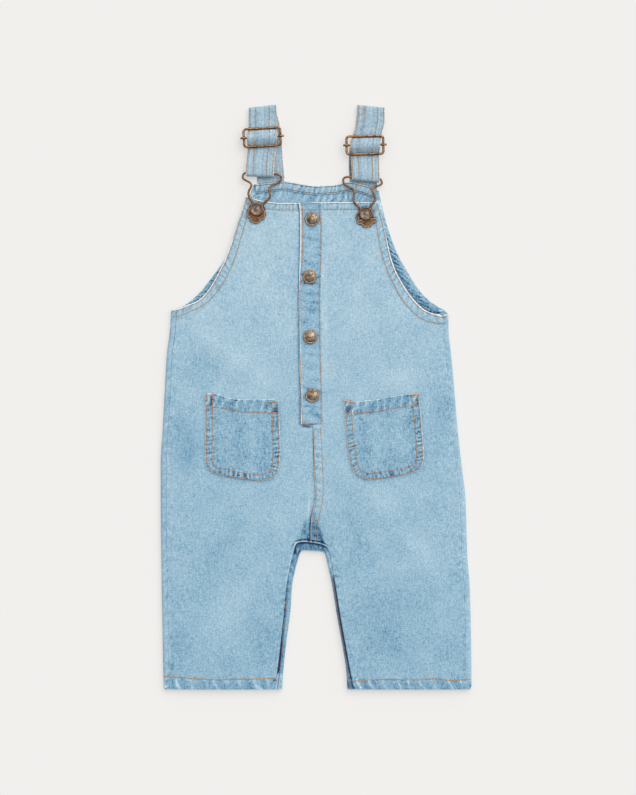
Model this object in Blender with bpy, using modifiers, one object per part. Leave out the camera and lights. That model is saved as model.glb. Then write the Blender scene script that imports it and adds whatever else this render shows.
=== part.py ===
"""Kids denim dungarees, laid flat on their back with the front facing up.

The frame is +Z up and +Y towards the shoulders, with the origin on the surface under the middle of the part.
Sizes and tables are in millimetres, and each point is brought to metres when its mesh is made.
The back panels lie flat and roll up round the sides, the crotch and the inner legs to the seams on the front side.
The front panels lie over them, and everything that lies on a panel is made from the panel's own height.
"""

import math

import bmesh
import bpy
import numpy as np

MM = 0.001

# Cloth
GAP = 0.3               # between neighbouring pieces
SEAM_GAP = 0.45         # between a rolled edge and the front panel it is sewn to
DENIM = 1.2             # wall of a panel
FACING = 1.0            # wall of a turned facing
DOUBLED = 1.4           # wall of a pocket and of the placket
STRAP_WALL = 1.5
STRAP_WIDTH = 25.0
HEM_RAISE = 0.5         # a turned hem or lapped seam stands this much above its panel

# Layers, measured up from the surface
ROLL = 2.4              # outer radius where the back panel rolls up round an edge
SEAM_LEVEL = 2 * ROLL
BIB_LEVEL_DROP = 0.5    # the bib lies a little lower than the legs
CROWN = 0.8             # rise of the front from its edges to its middle
CROWN_REACH = 30.0

# Hems and seams
SIDE_SEAM_INSET = 5.2
LEG_HEM = 9.0
BIB_HEM = 6.4
ARMHOLE_HEM = 7.6
FACING_DEPTH = 8.0
LAP_WIDTH = 7.4
LAP_TOP = -27.0
FRONT_SEAM_COLUMNS = {"left": (3.0, 7.2, 13.2), "right": (3.0, 7.2, 8.6)}
ARMHOLE_COLUMNS = (6.8, 8.0)
STEEPEST_ROW = 0.35     # least sine between a bib row and the armhole's edge
BACK_COLUMNS = 6
POCKET_COLUMNS = 6
FACING_ROWS = {"armhole": 15, "top": 19}

# Heights up the garment
HEM_Y = -262.4
CROTCH_ROW_Y = -106.0   # where the crotch's row of points meets the side
BIB_ROW_Y = 60.0        # where the armhole corner's row meets the centre front
BIB_TOP_Y = 176.0
BACK_TOP_Y = 192.0
TOP_FIT = 22.0          # depth over which rows bend to follow a top edge

# Row and column spacing of the panels
ROW_PITCH = 12.0
COLUMN_PITCH = 14.0

# Outline of each side, from the hem up to the armhole corner: x, y
OUTLINE = {
    "left": [(-137.3, -262.4), (-138.2, -217.8), (-139.1, -167.4), (-140.0, -91.8), (-140.0, -59.4),
             (-138.2, -27.0), (-136.4, 5.4), (-134.6, 37.8), (-131.9, 59.4), (-129.6, 79.1)],
    "right": [(140.0, -262.4), (139.6, -217.8), (138.2, -167.4), (136.4, -145.8), (134.6, -91.8), (131.0, -59.4),
              (127.4, -27.0), (124.7, 5.4), (121.8, 37.8), (119.4, 59.4), (119.0, 73.4)],
}

# Inner leg and crotch, from the hem up to the centre: outline x, outline y, inseam x, inseam y
LEG = {
    "left": [(-30.7, -262.4, -37.4, -262.4), (-29.2, -241.5, -34.3, -241.5), (-26.2, -215.0, -31.3, -215.0),
             (-23.0, -190.0, -28.6, -190.4), (-21.8, -170.0, -26.6, -170.0), (-18.2, -152.0, -23.4, -151.5),
             (-15.4, -142.5, -20.6, -139.5), (-14.0, -139.2, -18.6, -132.2), (-11.6, -137.6, -14.6, -129.8),
             (-8.8, -137.6, -10.0, -129.6), (-5.1, -137.8, -5.1, -130.2)],
    "right": [(28.2, -262.4, 34.0, -262.4), (27.0, -245.0, 30.7, -246.0), (23.9, -224.5, 27.0, -225.2),
              (19.1, -198.0, 22.2, -198.8), (13.8, -165.6, 16.9, -166.4), (10.4, -150.0, 13.8, -149.8),
              (8.8, -142.8, 12.2, -140.4), (7.2, -139.4, 9.4, -134.4), (4.2, -138.4, 5.8, -132.2),
              (-0.6, -138.0, -0.2, -130.8), (-5.1, -137.8, -5.1, -130.2)],
}

# Centre front seam, from the crotch up to the bib's top edge: x, y
FRONT_SEAM = [(-5.1, -130.2), (-5.1, -118.8), (-4.5, -109.8), (-2.9, -101.7), (-1.7, -96.3), (-0.7, -87.3),
              (-1.7, -71.1), (-2.7, -23.4), (-3.6, 20.0), (-4.0, 60.0), (-4.0, 176.0)]
BACK_SEAM_X = -3.6

# Front armhole edge, from the side seam up to the bib's corner: x, y
FRONT_ARMHOLE = {
    "left": [(-124.4, 80.5), (-113.7, 84.5), (-106.0, 88.0), (-100.5, 92.6), (-95.1, 99.3), (-90.7, 106.4),
             (-86.9, 113.4), (-80.9, 124.9), (-76.6, 135.8), (-73.4, 146.7), (-70.7, 156.6), (-67.1, 167.4),
             (-64.8, 175.0), (-63.5, 181.4)],
    "right": [(113.8, 73.1), (105.6, 75.6), (97.3, 80.2), (90.6, 86.4), (84.0, 94.7), (78.1, 103.9),
              (73.2, 113.0), (69.4, 123.0), (67.0, 131.3), (64.0, 142.1), (61.6, 152.9), (58.2, 166.2),
              (55.7, 176.2)],
}

# Back armhole edge, from just above the roll of the side up to the back's corner: x, y
BACK_ARMHOLE = {
    "left": [(-119.1, 83.2), (-113.7, 86.8), (-108.2, 91.6), (-102.7, 97.1), (-97.3, 104.1), (-91.8, 111.2),
             (-83.1, 123.8), (-76.0, 138.0), (-69.5, 154.0), (-62.5, 172.0), (-58.6, 186.0), (-55.4, 192.6)],
    "right": [(116.4, 78.2), (110.6, 81.8), (102.2, 87.4), (94.0, 95.6), (86.5, 106.4), (79.8, 118.0),
              (74.0, 128.0), (69.8, 138.0), (65.7, 149.6), (62.4, 160.5), (59.0, 174.6), (56.2, 186.7)],
}

# Top edges, from left to right: x, y
BIB_TOP = [(-63.5, 181.4), (-56.0, 179.4), (-46.0, 177.0), (-31.0, 175.5), (-15.8, 175.5), (0.0, 176.2),
           (55.7, 176.2)]
BACK_TOP = [(-55.4, 192.3), (-42.8, 193.7), (-28.4, 195.1), (-14.0, 192.8), (0.5, 191.1), (16.7, 191.9),
            (30.2, 194.6), (41.9, 192.4), (56.3, 186.8)]

# Placket strip: y, left edge x, right edge x
PLACKET = [(-23.6, -13.4, 5.9), (0.0, -13.4, 5.6), (27.0, -14.2, 5.0), (56.0, -14.4, 4.4), (88.0, -15.0, 4.0),
           (110.0, -14.9, 4.2), (150.0, -14.5, 5.4), (165.0, -14.6, 5.0), (175.6, -15.8, 4.3)]
SNAPS = [(-3.8, 160.8), (-5.7, 109.0), (-5.3, 54.9), (-3.4, 2.4)]

# Patch pockets, from the bottom edge up: left x, left y, right x, right y
POCKET = {
    "left": [(-88.0, -69.2, -50.0, -74.9), (-94.0, -66.8, -41.0, -73.2), (-98.2, -63.0, -35.6, -69.2),
             (-99.8, -54.0, -32.9, -60.0), (-99.9, -42.3, -32.2, -43.2), (-99.3, -21.6, -32.9, -24.3),
             (-99.6, 4.5, -33.6, -3.4)],
    "right": [(47.0, -73.8, 83.0, -68.4), (39.2, -71.2, 91.0, -65.4), (33.2, -65.8, 95.2, -61.2),
              (30.0, -56.0, 96.8, -52.0), (27.2, -34.2, 95.9, -34.2), (25.5, -12.2, 93.9, -10.8),
              (24.8, -1.8, 92.1, 3.9)],
}
POCKET_TOP = {
    "left": [(-99.6, 4.5), (-89.6, 3.9), (-81.9, 1.1), (-70.7, -0.9), (-54.8, -1.4), (-39.6, -1.2), (-33.6, -3.4)],
    "right": [(24.8, -1.8), (34.6, -3.6), (43.0, -2.4), (52.9, -1.6), (64.9, 1.0), (80.7, 3.1), (92.1, 3.9)],
}

# Main folds of the front: x and y of one end, x and y of the other, width, height (a trough is below zero)
FOLDS = [
    (-118.0, 68.0, -30.0, 0.0, 15.0, 0.50),
    (-124.0, 50.0, -74.0, 6.0, 16.0, -0.45),
    (110.0, 46.0, 66.0, 30.0, 13.0, -0.30),
    (26.0, 12.0, 104.0, 18.0, 14.0, 0.30),
    (-20.0, -98.0, -84.0, -176.0, 17.0, 0.50),
    (-66.0, -112.0, -120.0, -178.0, 15.0, -0.45),
    (-40.0, -186.0, -62.0, -244.0, 15.0, -0.35),
    (40.0, -80.0, 124.0, -188.0, 15.0, 0.50),
    (18.0, -96.0, 64.0, -176.0, 14.0, -0.45),
    (62.0, -184.0, 88.0, -246.0, 18.0, -0.30),
    (5.0, 170.0, 15.0, 138.0, 8.0, 0.30),
    (-52.0, 160.0, -36.0, 100.0, 12.0, -0.25),
]

# The cloth sinks beside the crotch, between the bulges of the legs: y, left x, right x
RECESS = [(-140.0, -20.8, 8.2), (-128.3, -16.8, 5.2), (-115.2, -12.1, 2.4), (-99.0, -6.4, -1.5)]
RECESS_DEPTH = 1.2

# Hardware
BUCKLE_SIZE = (35.2, 18.2)
BUCKLE_WIRE = 2.1
SLIDE_WIRE = 2.0
CLIP_WIRE = 1.9
CLIP_PLATE = 1.2
CLIP_LIFT = 0.6         # under a clip's wire where it lies on the bib
BUTTON_RADIUS = 6.0
SHANK_RADIUS = 1.6
SNAP_RADIUS = 6.25

# Half of a wire clip, from the middle of its top bar down to its foot, seen from the bib button: x, y
CLIP_WIRE_PATH = [(0.0, 33.1), (12.6, 33.1), (15.3, 32.4), (17.0, 30.6), (17.2, 28.4), (15.8, 26.4),
                  (12.6, 24.6), (9.6, 22.9), (8.2, 20.8), (8.6, 18.2), (9.6, 15.6), (9.8, 13.0), (8.8, 10.6),
                  (6.8, 8.2), (5.2, 6.3), (4.4, 4.4), (4.9, 2.6), (6.4, 1.3), (7.8, 0.0), (8.7, -1.8),
                  (8.9, -3.6)]
# Half of the scalloped plate's outline, from its top round to its lowest lobe: x, y
CLIP_PLATE_PATH = [(0.0, -3.8), (3.4, -4.4), (5.8, -5.0), (7.8, -4.8), (9.0, -6.0), (8.8, -7.8), (7.2, -8.9),
                   (5.6, -8.7), (4.6, -9.6), (3.6, -11.3), (1.9, -12.4), (0.0, -12.6)]

# The straps and what hangs on them; a tilt is in degrees, seen from above
STRAP = {
    "left": {"back": [(-40.5, 194.0), (-42.3, 214.0), (-43.2, 227.7), (-45.0, 244.8), (-48.3, 260.5)],
             "fold": (-48.3, 263.1, 6.4), "buckle": (-48.5, 234.5, 3.6), "loop": (-50.6, 198.9, -2.0),
             "button": (-53.3, 169.6, -9.0), "bar": -4.0},
    "right": {"back": [(42.6, 194.0), (41.0, 214.0), (41.9, 232.0), (45.0, 248.0), (49.4, 260.5)],
              "fold": (49.4, 263.1, -5.8), "buckle": (43.9, 227.4, 1.2), "loop": (44.7, 194.7, -5.0),
              "button": (44.9, 165.8, 6.3), "bar": -1.5},
}
BUCKLE_LEVEL = 6.45
FOLD_RADIUS = 1.25      # middle line of the strap's top fold
BACK_STRAND = STRAP_WALL / 2
RETURN_STRAND = BACK_STRAND + STRAP_WALL + GAP
UNDER_BAR = BUCKLE_LEVEL - BUCKLE_WIRE / 2 - GAP - STRAP_WALL / 2
OVER_BAR = BUCKLE_LEVEL + SLIDE_WIRE / 2 + GAP + STRAP_WALL / 2
LOOP_RADIUS = CLIP_WIRE / 2 + GAP + STRAP_WALL / 2
LOOP_LEVEL = RETURN_STRAND + LOOP_RADIUS

# Finishes: colour, metallic, roughness
DENIM_FINISH = ((0.38, 0.56, 0.66), 0.0, 0.85)
POCKET_FINISH = ((0.30, 0.47, 0.60), 0.0, 0.85)
INSIDE_FINISH = ((0.22, 0.38, 0.52), 0.0, 0.88)
BRASS_FINISH = ((0.27, 0.17, 0.10), 0.9, 0.38)

SIGN = {"left": -1.0, "right": 1.0}


# ---------------------------------------------------------------- curves and spacing

def ease(value):
    """A smooth step: 0 below 0, 1 above 1, level at both ends."""
    value = np.clip(value, 0.0, 1.0)
    return value * value * (3.0 - 2.0 * value)


def read_curve(places, rows, at):
    """A table's columns at the given places, on smooth curves that don't swing past its own values."""
    places = np.asarray(places, dtype=float)
    rows = np.asarray(rows, dtype=float).reshape(len(places), -1)
    at = np.clip(np.asarray(at, dtype=float), places[0], places[-1])
    steps = np.diff(places)[:, None]
    runs = np.diff(rows, axis=0) / steps
    product = runs[:-1] * runs[1:]
    total = np.where(product > 0.0, runs[:-1] + runs[1:], 1.0)
    slopes = np.vstack((runs[:1], np.where(product > 0.0, 2.0 * product / total, 0.0), runs[-1:]))
    index = np.clip(np.searchsorted(places, at, side="right") - 1, 0, len(places) - 2)
    step = steps[index]
    t = ((at - places[index])[..., None]) / step
    return ((1 + 2 * t) * (1 - t) ** 2 * rows[index] + t * (1 - t) ** 2 * step * slopes[index]
            + t * t * (3 - 2 * t) * rows[index + 1] + t * t * (t - 1) * step * slopes[index + 1])


def lengths_along(rows):
    """Distance of each row's first two columns from the first row, along the table."""
    rows = np.asarray(rows, dtype=float)
    return np.concatenate(([0.0], np.cumsum(np.hypot(np.diff(rows[:, 0]), np.diff(rows[:, 1])))))


def read_path(rows, at):
    """A path's columns at distances along it."""
    return read_curve(lengths_along(rows), rows, at)


def height_of(edge, x):
    """The y of a left-to-right edge above x."""
    edge = np.asarray(edge)
    return read_curve(edge[:, 0], edge[:, 1], x)[..., 0]


def spread(length, pitch, start=(), end=()):
    """Distances along a length: the ones asked for at its start and end, and even ones between."""
    first = start[-1] if start else 0.0
    last = length - (end[-1] if end else 0.0)
    count = max(1, round((last - first) / pitch))
    middle = list(np.linspace(first, last, count + 1)[1:-1])
    ends = [length - distance for distance in reversed(end)]
    return np.array([0.0, *start, *middle, *ends, length])


def distance_to(path, x, y):
    """Distance from points to a path of straight stretches."""
    path = np.asarray(path, dtype=float)[:, :2]
    nearest = np.full(np.shape(x), np.inf)
    for start, end in zip(path[:-1], path[1:]):
        run = end - start
        share = ((x - start[0]) * run[0] + (y - start[1]) * run[1]) / (run @ run)
        share = np.clip(share, 0.0, 1.0)
        nearest = np.minimum(nearest, np.hypot(x - start[0] - share * run[0], y - start[1] - share * run[1]))
    return nearest


# ---------------------------------------------------------------- the shape of the laid garment

def outline_x(side, y):
    rows = np.array(OUTLINE[side])
    return read_curve(rows[:, 1], rows[:, 0], y)[..., 0]


def front_seam_x(y):
    rows = np.array(FRONT_SEAM)
    return read_curve(rows[:, 1], rows[:, 0], y)[..., 0]


def edge_distance(x, y):
    """Distance in from the rolled edges: both sides, both inner legs and the crotch."""
    nearest = np.full(np.shape(x), np.inf)
    for side in ("left", "right"):
        outline = [*OUTLINE[side], (OUTLINE[side][-1][0], BACK_TOP_Y)]
        nearest = np.minimum(nearest, distance_to(outline, x, y))
        nearest = np.minimum(nearest, distance_to(LEG[side], x, y))
    return nearest


def armhole_distance(x, y):
    return np.minimum(distance_to(FRONT_ARMHOLE["left"], x, y), distance_to(FRONT_ARMHOLE["right"], x, y))


def roll_drop(distance):
    """How far the rolled edge lies below the seam's level."""
    inside = np.clip(ROLL - distance, 0.0, ROLL)
    return ROLL - np.sqrt(ROLL * ROLL - inside * inside)


def fold_height(x, y):
    """The main folds: soft ridges and troughs that fade out towards their ends."""
    height = np.zeros(np.shape(x))
    for x0, y0, x1, y1, width, rise in FOLDS:
        run = np.hypot(x1 - x0, y1 - y0)
        along = ((x - x0) * (x1 - x0) + (y - y0) * (y1 - y0)) / (run * run)
        across = ((x - x0) * (y1 - y0) - (y - y0) * (x1 - x0)) / run
        fade = ease(along * 2.5) * ease((1.0 - along) * 2.5)
        height = height + rise * fade * np.exp(-(across / (0.5 * width)) ** 2)
    return height


def recess(x, y):
    """Depth of the hollow beside the crotch."""
    rows = np.array(RECESS)
    bounds = read_curve(rows[:, 0], rows[:, 1:], y)
    inside = np.minimum(x - bounds[..., 0], bounds[..., 1] - x)
    return RECESS_DEPTH * ease((inside + 2.5) / 5.0) * ease((rows[-1, 0] - y) / 22.0)


def front_level(x, y):
    """Top of the front cloth before its edges roll down and without its hems."""
    edge = edge_distance(x, y)
    above = ease((y - 40.0) / 60.0)
    open_edge = np.minimum(edge, armhole_distance(x, y) + 2.0 * ROLL)
    crown_from = edge * (1.0 - above) + open_edge * above
    crown = CROWN * ease((crown_from - ROLL) / CROWN_REACH)
    sink = recess(x, y) * ease(edge / 5.0)
    fade = ease((edge - ROLL) / 14.0)
    return SEAM_LEVEL - BIB_LEVEL_DROP * above + crown - sink + fold_height(x, y) * fade


def hem_raise(x, y):
    """Rise of the turned hems and of the lapped seam above the front panels."""
    soft = 1.2
    placket_left = PLACKET[-1][1]
    placket_right = PLACKET[-1][2]
    clear_of_placket = ease((placket_left - 1.8 - x) / 0.8) + ease((x - placket_right - 1.8) / 0.8)
    leg = ease((HEM_Y + LEG_HEM - y) / soft)
    bib = ease((y - height_of(BIB_TOP, x) + BIB_HEM) / soft) * clear_of_placket
    armhole = ease((ARMHOLE_HEM - armhole_distance(x, y)) / soft) * ease((y - 60.0) / 6.0)
    lap_x = x - front_seam_x(y)
    lap = ease((LAP_WIDTH - lap_x) / soft) * (lap_x >= 0.0) * ease((LAP_TOP - y) / 3.0)
    lap = lap * ease(edge_distance(x, y) / 8.0 - 0.4)
    return HEM_RAISE * np.maximum(np.maximum(leg, bib), np.maximum(armhole, lap))


def front_top(x, y):
    """Top of the finished front cloth."""
    return front_level(x, y) - roll_drop(edge_distance(x, y)) + hem_raise(x, y)


# ---------------------------------------------------------------- meshes

def finish(name, colour, metallic, roughness):
    material = bpy.data.materials.new(name)
    material.use_nodes = True
    shader = material.node_tree.nodes["Principled BSDF"]
    shader.inputs["Base Color"].default_value = (*colour, 1.0)
    shader.inputs["Metallic"].default_value = metallic
    shader.inputs["Roughness"].default_value = roughness
    return material


def add_object(name, data, collection, look, parent=None):
    item = bpy.data.objects.new(name, data)
    collection.objects.link(item)
    data.materials.append(finish(name + "_finish", *look))
    item.parent = parent
    return item


def sheet_mesh(name, points, kept):
    """A grid of cloth whose vertices take the given points; those not kept are left out."""
    rows, columns = points.shape[:2]
    mesh = bpy.data.meshes.new(name)
    cloth = bmesh.new()
    bmesh.ops.create_grid(cloth, x_segments=columns - 1, y_segments=rows - 1, size=1.0)
    dropped = []
    for vertex in cloth.verts:
        column = round((vertex.co.x + 1.0) / 2.0 * (columns - 1))
        row = round((vertex.co.y + 1.0) / 2.0 * (rows - 1))
        if kept[row, column]:
            vertex.co = points[row, column] * MM
        else:
            dropped.append(vertex)
    bmesh.ops.delete(cloth, geom=dropped, context="VERTS")
    cloth.to_mesh(mesh)
    cloth.free()
    mesh.shade_smooth()
    return mesh


def add_sheet(name, points, wall, collection, look, grow=-1.0, kept=None):
    """Cloth with a wall: it grows down from the points (-1), up from them (1) or both ways (0)."""
    if kept is None:
        kept = np.ones(points.shape[:2], dtype=bool)
    item = add_object(name, sheet_mesh(name, points, kept), collection, look)
    solidify = item.modifiers.new("wall", "SOLIDIFY")
    solidify.thickness = wall * MM
    solidify.offset = grow
    solidify.use_even_offset = True
    return item


def add_wire(name, points, diameter, collection, look, closed=False, parent=None):
    """A round wire along a path of points."""
    curve = bpy.data.curves.new(name, "CURVE")
    curve.dimensions = "3D"
    curve.bevel_depth = diameter / 2.0 * MM
    curve.bevel_resolution = 2
    curve.use_fill_caps = True
    spline = curve.splines.new("POLY")
    spline.points.add(len(points) - 1)
    for place, point in zip(spline.points, points):
        place.co = (point[0] * MM, point[1] * MM, point[2] * MM, 1.0)
    spline.use_cyclic_u = closed
    spline.use_smooth = True
    return add_object(name, curve, collection, look, parent)


def add_turned(name, profile, steps, collection, look, parent=None):
    """A piece turned round Z from its profile, radius and height, read from its top down its outer side."""
    mesh = bpy.data.meshes.new(name)
    line = bmesh.new()
    vertices = [line.verts.new((radius * MM, 0.0, height * MM)) for radius, height in profile]
    for upper, lower in zip(vertices[:-1], vertices[1:]):
        line.edges.new((upper, lower))
    line.to_mesh(mesh)
    line.free()
    item = add_object(name, mesh, collection, look, parent)
    screw = item.modifiers.new("turn", "SCREW")
    screw.steps = steps
    screw.render_steps = steps
    screw.use_merge_vertices = True
    screw.merge_threshold = 0.00001
    screw.use_smooth_shade = True
    return item


def add_plate(name, outline, thickness, collection, look, parent=None):
    """A flat plate cut to an outline."""
    curve = bpy.data.curves.new(name, "CURVE")
    curve.dimensions = "2D"
    curve.fill_mode = "BOTH"
    curve.extrude = thickness / 2.0 * MM
    spline = curve.splines.new("POLY")
    spline.points.add(len(outline) - 1)
    for place, (x, y) in zip(spline.points, outline):
        place.co = (x * MM, y * MM, 0.0, 1.0)
    spline.use_cyclic_u = True
    return add_object(name, curve, collection, look, parent)


# ---------------------------------------------------------------- panels

def leg_stations(side):
    """Rows of the inner leg and crotch, closer together at the hem."""
    rows = np.array(LEG[side])
    length = lengths_along(rows)[-1]
    places = spread(length, ROW_PITCH, start=(LEG_HEM - 1.0, LEG_HEM + 0.4), end=(4.0, 9.0, 13.0))
    return read_path(rows, places), places / length


def body_shares():
    """Shares of the way from the crotch's row up to the armhole corner's row."""
    length = BIB_ROW_Y - FRONT_SEAM[0][1]
    return spread(length, ROW_PITCH, start=(6.0, ))[1:] / length


def bend_to_top(x, y, ends, edge):
    """Heights of a panel's points after its top rows are bent to follow the real top edge."""
    straight = np.interp(x, *zip(*sorted(ends)))
    near_top = ease((y - straight + TOP_FIT) / TOP_FIT)
    return y + near_top * (height_of(edge, x) - straight)


def ruled(outer, inner, shares):
    """Points on the straight rows between two edges, at each row's own shares of its width."""
    return outer[:, None, :] + (inner - outer)[:, None, :] * shares[..., None]


def front_panel(side, collection):
    """Half of the front, from the leg hem to the bib's top edge, one wall deep."""
    sign = SIGN[side]
    leg, leg_shares = leg_stations(side)
    corner_y = FRONT_ARMHOLE[side][0][1]
    armhole = np.array(FRONT_ARMHOLE[side])
    armhole_length = lengths_along(armhole)[-1]
    bib_places = spread(armhole_length, ROW_PITCH, end=(BIB_HEM - 1.0, BIB_HEM + 0.2))[1:]
    bib_shares = bib_places / armhole_length

    leg_y = HEM_Y + leg_shares * (CROTCH_ROW_Y - HEM_Y)
    body_y = CROTCH_ROW_Y + body_shares() * (corner_y - CROTCH_ROW_Y)
    side_y = np.concatenate((leg_y, body_y))
    seam_x = outline_x(side, side_y) - sign * SIDE_SEAM_INSET
    armhole_points = read_path(armhole, bib_places)
    outer = np.vstack((np.column_stack((seam_x, side_y)), armhole_points))

    body_in_y = FRONT_SEAM[0][1] + body_shares() * (BIB_ROW_Y - FRONT_SEAM[0][1])
    bib_in_y = BIB_ROW_Y + bib_shares * (BIB_TOP_Y - BIB_ROW_Y)
    centre_y = np.concatenate((body_in_y, bib_in_y))
    centre_x = front_seam_x(centre_y) + sign * GAP / 2.0
    inner = np.vstack((leg[:, 2:], np.column_stack((centre_x, centre_y))))
    inner[len(leg) - 1, 0] = centre_x[0]

    widths = np.hypot(*(inner - outer).T)
    slants = np.ones(len(outer))
    tangents = np.gradient(outer, axis=0)[-len(bib_places):]
    across = (inner - outer)[-len(bib_places):]
    crossing = np.abs(tangents[:, 0] * across[:, 1] - tangents[:, 1] * across[:, 0])
    crossing = crossing / np.hypot(*tangents.T) / widths[-len(bib_places):]
    slants[-len(bib_places):] = 1.0 / np.maximum(crossing, STEEPEST_ROW)
    seam_columns = FRONT_SEAM_COLUMNS[side]
    columns = len(spread(widths.max(), COLUMN_PITCH, start=ARMHOLE_COLUMNS, end=seam_columns))
    shares = np.empty((len(outer), columns))
    for row, (width, slant) in enumerate(zip(widths, slants)):
        first = [0.0, *(distance * slant for distance in ARMHOLE_COLUMNS)]
        last = [*(width - distance for distance in reversed(seam_columns)), width]
        middle = np.linspace(first[-1], last[0], columns - len(first) - len(last) + 2)[1:-1]
        shares[row] = np.array([*first, *middle, *last]) / width

    flat = ruled(outer, inner, shares)
    ends = [tuple(outer[-1]), tuple(inner[-1])]
    x = flat[..., 0]
    y = bend_to_top(x, flat[..., 1], ends, BIB_TOP)
    points = np.dstack((x, y, front_top(x, y)))
    if side == "right":
        points = points[:, ::-1]
    return add_sheet("front_" + side, points, DENIM, collection, DENIM_FINISH)


def rolled_edge(outline, seam):
    """Section of the back panel from its flat part, up round its edge and in to the seam on the front side."""
    inward = seam - outline
    width = np.hypot(*inward.T)
    inward = inward / width[:, None]
    width = width - SEAM_GAP
    sections = []
    for angle in (0.0, 30.0, 60.0):
        inset = ROLL * (1.0 - math.sin(math.radians(angle)))
        place = outline + inward * inset
        height = np.full(len(outline), ROLL * (1.0 - math.cos(math.radians(angle))))
        sections.append(np.column_stack((place, height)))
    for share in (0.0, 0.1, 0.32, 0.62, 1.0):
        inset = width * share
        place = outline + inward * inset[:, None]
        height = front_level(place[:, 0], place[:, 1]) - roll_drop(inset)
        if share == 0.0:
            height = np.full(len(outline), ROLL)
        sections.append(np.column_stack((place, height)))
    return np.stack(sections, axis=1)


def back_panel(side, collection):
    """Half of the back, flat on the surface, rolled up round its side, inner leg and crotch."""
    sign = SIGN[side]
    leg, leg_shares = leg_stations(side)
    leg_outer_y = HEM_Y + leg_shares * (CROTCH_ROW_Y - HEM_Y)
    outline_y = CROTCH_ROW_Y + body_shares() * (OUTLINE[side][-1][1] - CROTCH_ROW_Y)
    seam_y = CROTCH_ROW_Y + body_shares() * (FRONT_ARMHOLE[side][0][1] - CROTCH_ROW_Y)
    rolled_y = np.concatenate((leg_outer_y, outline_y))
    seam_rows_y = np.concatenate((leg_outer_y, seam_y))
    side_x = outline_x(side, rolled_y)
    outer_roll = rolled_edge(np.column_stack((side_x, rolled_y)),
                             np.column_stack((side_x - sign * SIDE_SEAM_INSET, seam_rows_y)))
    inner_roll = rolled_edge(leg[:, :2], leg[:, 2:])
    roll_columns = outer_roll.shape[1]

    armhole = np.vstack((outer_roll[-1, 0, :2], BACK_ARMHOLE[side]))
    armhole_length = lengths_along(armhole)[-1]
    bib_places = spread(armhole_length, ROW_PITCH)[1:]
    outer = np.vstack((outer_roll[:, 0, :2], read_path(armhole, bib_places)))

    crotch_y = inner_roll[-1, 0, 1]
    body_in_y = crotch_y + body_shares() * (BIB_ROW_Y - crotch_y)
    bib_in_y = BIB_ROW_Y + bib_places / armhole_length * (BACK_TOP_Y - BIB_ROW_Y)
    centre_y = np.concatenate((body_in_y, bib_in_y))
    centre_x = np.interp(centre_y, (crotch_y, crotch_y + 60.0), (leg[-1, 0], BACK_SEAM_X)) + sign * GAP / 2.0
    inner_roll[-1, :, 0] = inner_roll[-1, :, 0] + sign * GAP / 2.0
    inner = np.vstack((inner_roll[:, 0, :2], np.column_stack((centre_x, centre_y))))

    shares = np.tile(np.linspace(0.0, 1.0, BACK_COLUMNS + 1), (len(outer), 1))
    flat = ruled(outer, inner, shares)
    flat_y = bend_to_top(flat[..., 0], flat[..., 1], [tuple(outer[-1]), tuple(inner[-1])], BACK_TOP)
    flat = np.dstack((flat[..., 0], flat_y, np.zeros(flat.shape[:2])))

    rows = len(outer)
    columns = flat.shape[1] + 2 * (roll_columns - 1)
    points = np.zeros((rows, columns, 3))
    kept = np.zeros((rows, columns), dtype=bool)
    points[:, roll_columns - 1:columns - roll_columns + 1] = flat
    kept[:, roll_columns - 1:columns - roll_columns + 1] = True
    points[:len(outer_roll), :roll_columns - 1] = outer_roll[:, :0:-1]
    kept[:len(outer_roll), :roll_columns - 1] = True
    points[:len(inner_roll), columns - roll_columns + 1:] = inner_roll[:, 1:]
    kept[:len(inner_roll), columns - roll_columns + 1:] = True
    if side == "right":
        points = points[:, ::-1]
        kept = kept[:, ::-1]
    return add_sheet("back_" + side, points, DENIM, collection, DENIM_FINISH, grow=1.0, kept=kept)


def panels(collection):
    for side in ("left", "right"):
        front_panel(side, collection)
        back_panel(side, collection)


# ---------------------------------------------------------------- pieces sewn onto the panels

def placket(collection):
    """Doubled strip down the centre front, over the butt of the two front panels."""
    rows = np.array(PLACKET)
    levels = spread(rows[-1, 0] - rows[0, 0], ROW_PITCH) + rows[0, 0]
    edges = read_curve(rows[:, 0], rows[:, 1:], levels)
    shares = np.tile(np.linspace(0.0, 1.0, 4), (len(levels), 1))
    flat = ruled(np.column_stack((edges[:, 0], levels)), np.column_stack((edges[:, 1], levels)), shares)
    x = flat[..., 0]
    y = flat[..., 1]
    points = np.dstack((x, y, front_top(x, y) + GAP))
    return add_sheet("placket", points, DOUBLED, collection, DENIM_FINISH, grow=1.0)


def pocket(side, collection):
    """Patch pocket with rounded lower corners."""
    rows = np.array(POCKET[side])
    middle = (rows[:, :2] + rows[:, 2:]) / 2.0
    table = np.column_stack((middle, rows))
    places = spread(lengths_along(table)[-1], ROW_PITCH, start=(1.6, 4.4, 8.4))
    edges = read_path(table, places)[:, 2:]
    shares = np.tile(np.linspace(0.0, 1.0, POCKET_COLUMNS + 1), (len(places), 1))
    flat = ruled(edges[:, :2], edges[:, 2:], shares)
    x = flat[..., 0]
    y = bend_to_top(x, flat[..., 1], [tuple(edges[-1, :2]), tuple(edges[-1, 2:])], POCKET_TOP[side])
    points = np.dstack((x, y, front_top(x, y) + GAP))
    return add_sheet("pocket_" + side, points, DOUBLED, collection, POCKET_FINISH, grow=1.0)


def strip_beside(path, start, end, level):
    """A flat strip beside a path, between two distances to its right-hand side."""
    tangents = np.gradient(path, axis=0)
    tangents = tangents / np.hypot(*tangents.T)[:, None]
    beside = np.column_stack((tangents[:, 1], -tangents[:, 0]))
    flat = ruled(path + beside * start, path + beside * end, np.tile((0.0, 0.5, 1.0), (len(path), 1)))
    return np.dstack((flat, np.full(flat.shape[:2], level)))


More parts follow.
